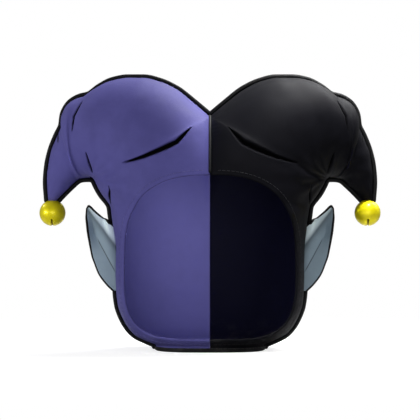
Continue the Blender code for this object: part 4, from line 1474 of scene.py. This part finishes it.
# %% Lamps
# place, aim, width, height: metres; beam: degrees, 180 for none; seen: whether the camera may see it
Lamp = namedtuple("Lamp", "name place aim width height watts beam seen")
LAMPS = [
    Lamp("lamp_above", (0.50, 0.60, 1.25), (0, 0, 0.15), 1.0, 1.0, 29, 180, True),
    Lamp("lamp_front", (0.10, -2.9, 0.35), (0, 0, 0.12), 2.2, 1.2, 18, 180, True),
    Lamp("lamp_left", (-1.9, -1.1, 0.30), (0, 0, 0.15), 1.2, 0.5, 17, 180, True),
    Lamp("sparkle_left", (-1.25, 0.55, 1.05), (-0.157, 0, 0.136), 0.26, 0.26, 3, 180, True),
    Lamp("sparkle_right", (1.25, 0.55, 1.05), (0.157, 0, 0.136), 0.26, 0.26, 3, 180, True),
    Lamp("lamp_inside", (0.08, -0.30, 0.02), (-0.05, 0.09, 0.165), 0.02, 0.02, 0.0058, 32, False),
    Lamp("lamp_horn", (0.24, -0.30, 1.15), (0.105, -0.02, 0.24), 0.12, 0.12, 0.32, 17, False),
]
for row in LAMPS:
    light = bpy.data.lights.new(row.name, "AREA")
    light.shape = "RECTANGLE"
    light.size = row.width
    light.size_y = row.height
    light.energy = row.watts
    light.spread = math.radians(row.beam)
    lamp = bpy.data.objects.new(row.name, light)
    lamp.location = row.place
    lamp.rotation_euler = (Vector(row.aim) - Vector(row.place)).to_track_quat("-Z", "Y").to_euler()
    lamp.visible_camera = row.seen
    bpy.context.collection.objects.link(lamp)
print("lamps:", len(LAMPS))

# %% White room
ROOM_GLOW = 0.22
room = bpy.data.worlds.new("white_room")
bpy.context.scene.world = room
room.use_nodes = True
room_light = room.node_tree.nodes["Background"]
room_light.inputs["Color"].default_value = (1, 1, 1, 1)
seen = room.node_tree.nodes.new("ShaderNodeLightPath").outputs["Is Camera Ray"]
glow = maths(room.node_tree, "MAXIMUM", seen, ROOM_GLOW)
room.node_tree.links.new(glow, room_light.inputs["Strength"])

# %% Camera
PICTURE_SIDE = 0.420
SENSOR_WIDTH = 36
CAMERA_DISTANCE = 2.6
CAMERA_HEIGHT = 0.1395
camera_data = bpy.data.cameras.new("front_camera")
camera_data.sensor_width = SENSOR_WIDTH
camera_data.lens = SENSOR_WIDTH * CAMERA_DISTANCE / PICTURE_SIDE
camera = bpy.data.objects.new("front_camera", camera_data)
camera.location = (0, SEAM_Y - CAMERA_DISTANCE, CAMERA_HEIGHT)
camera.rotation_euler = (math.pi / 2, 0, 0)
bpy.context.collection.objects.link(camera)
bpy.context.scene.camera = camera
bpy.context.scene.view_settings.view_transform = "Standard"
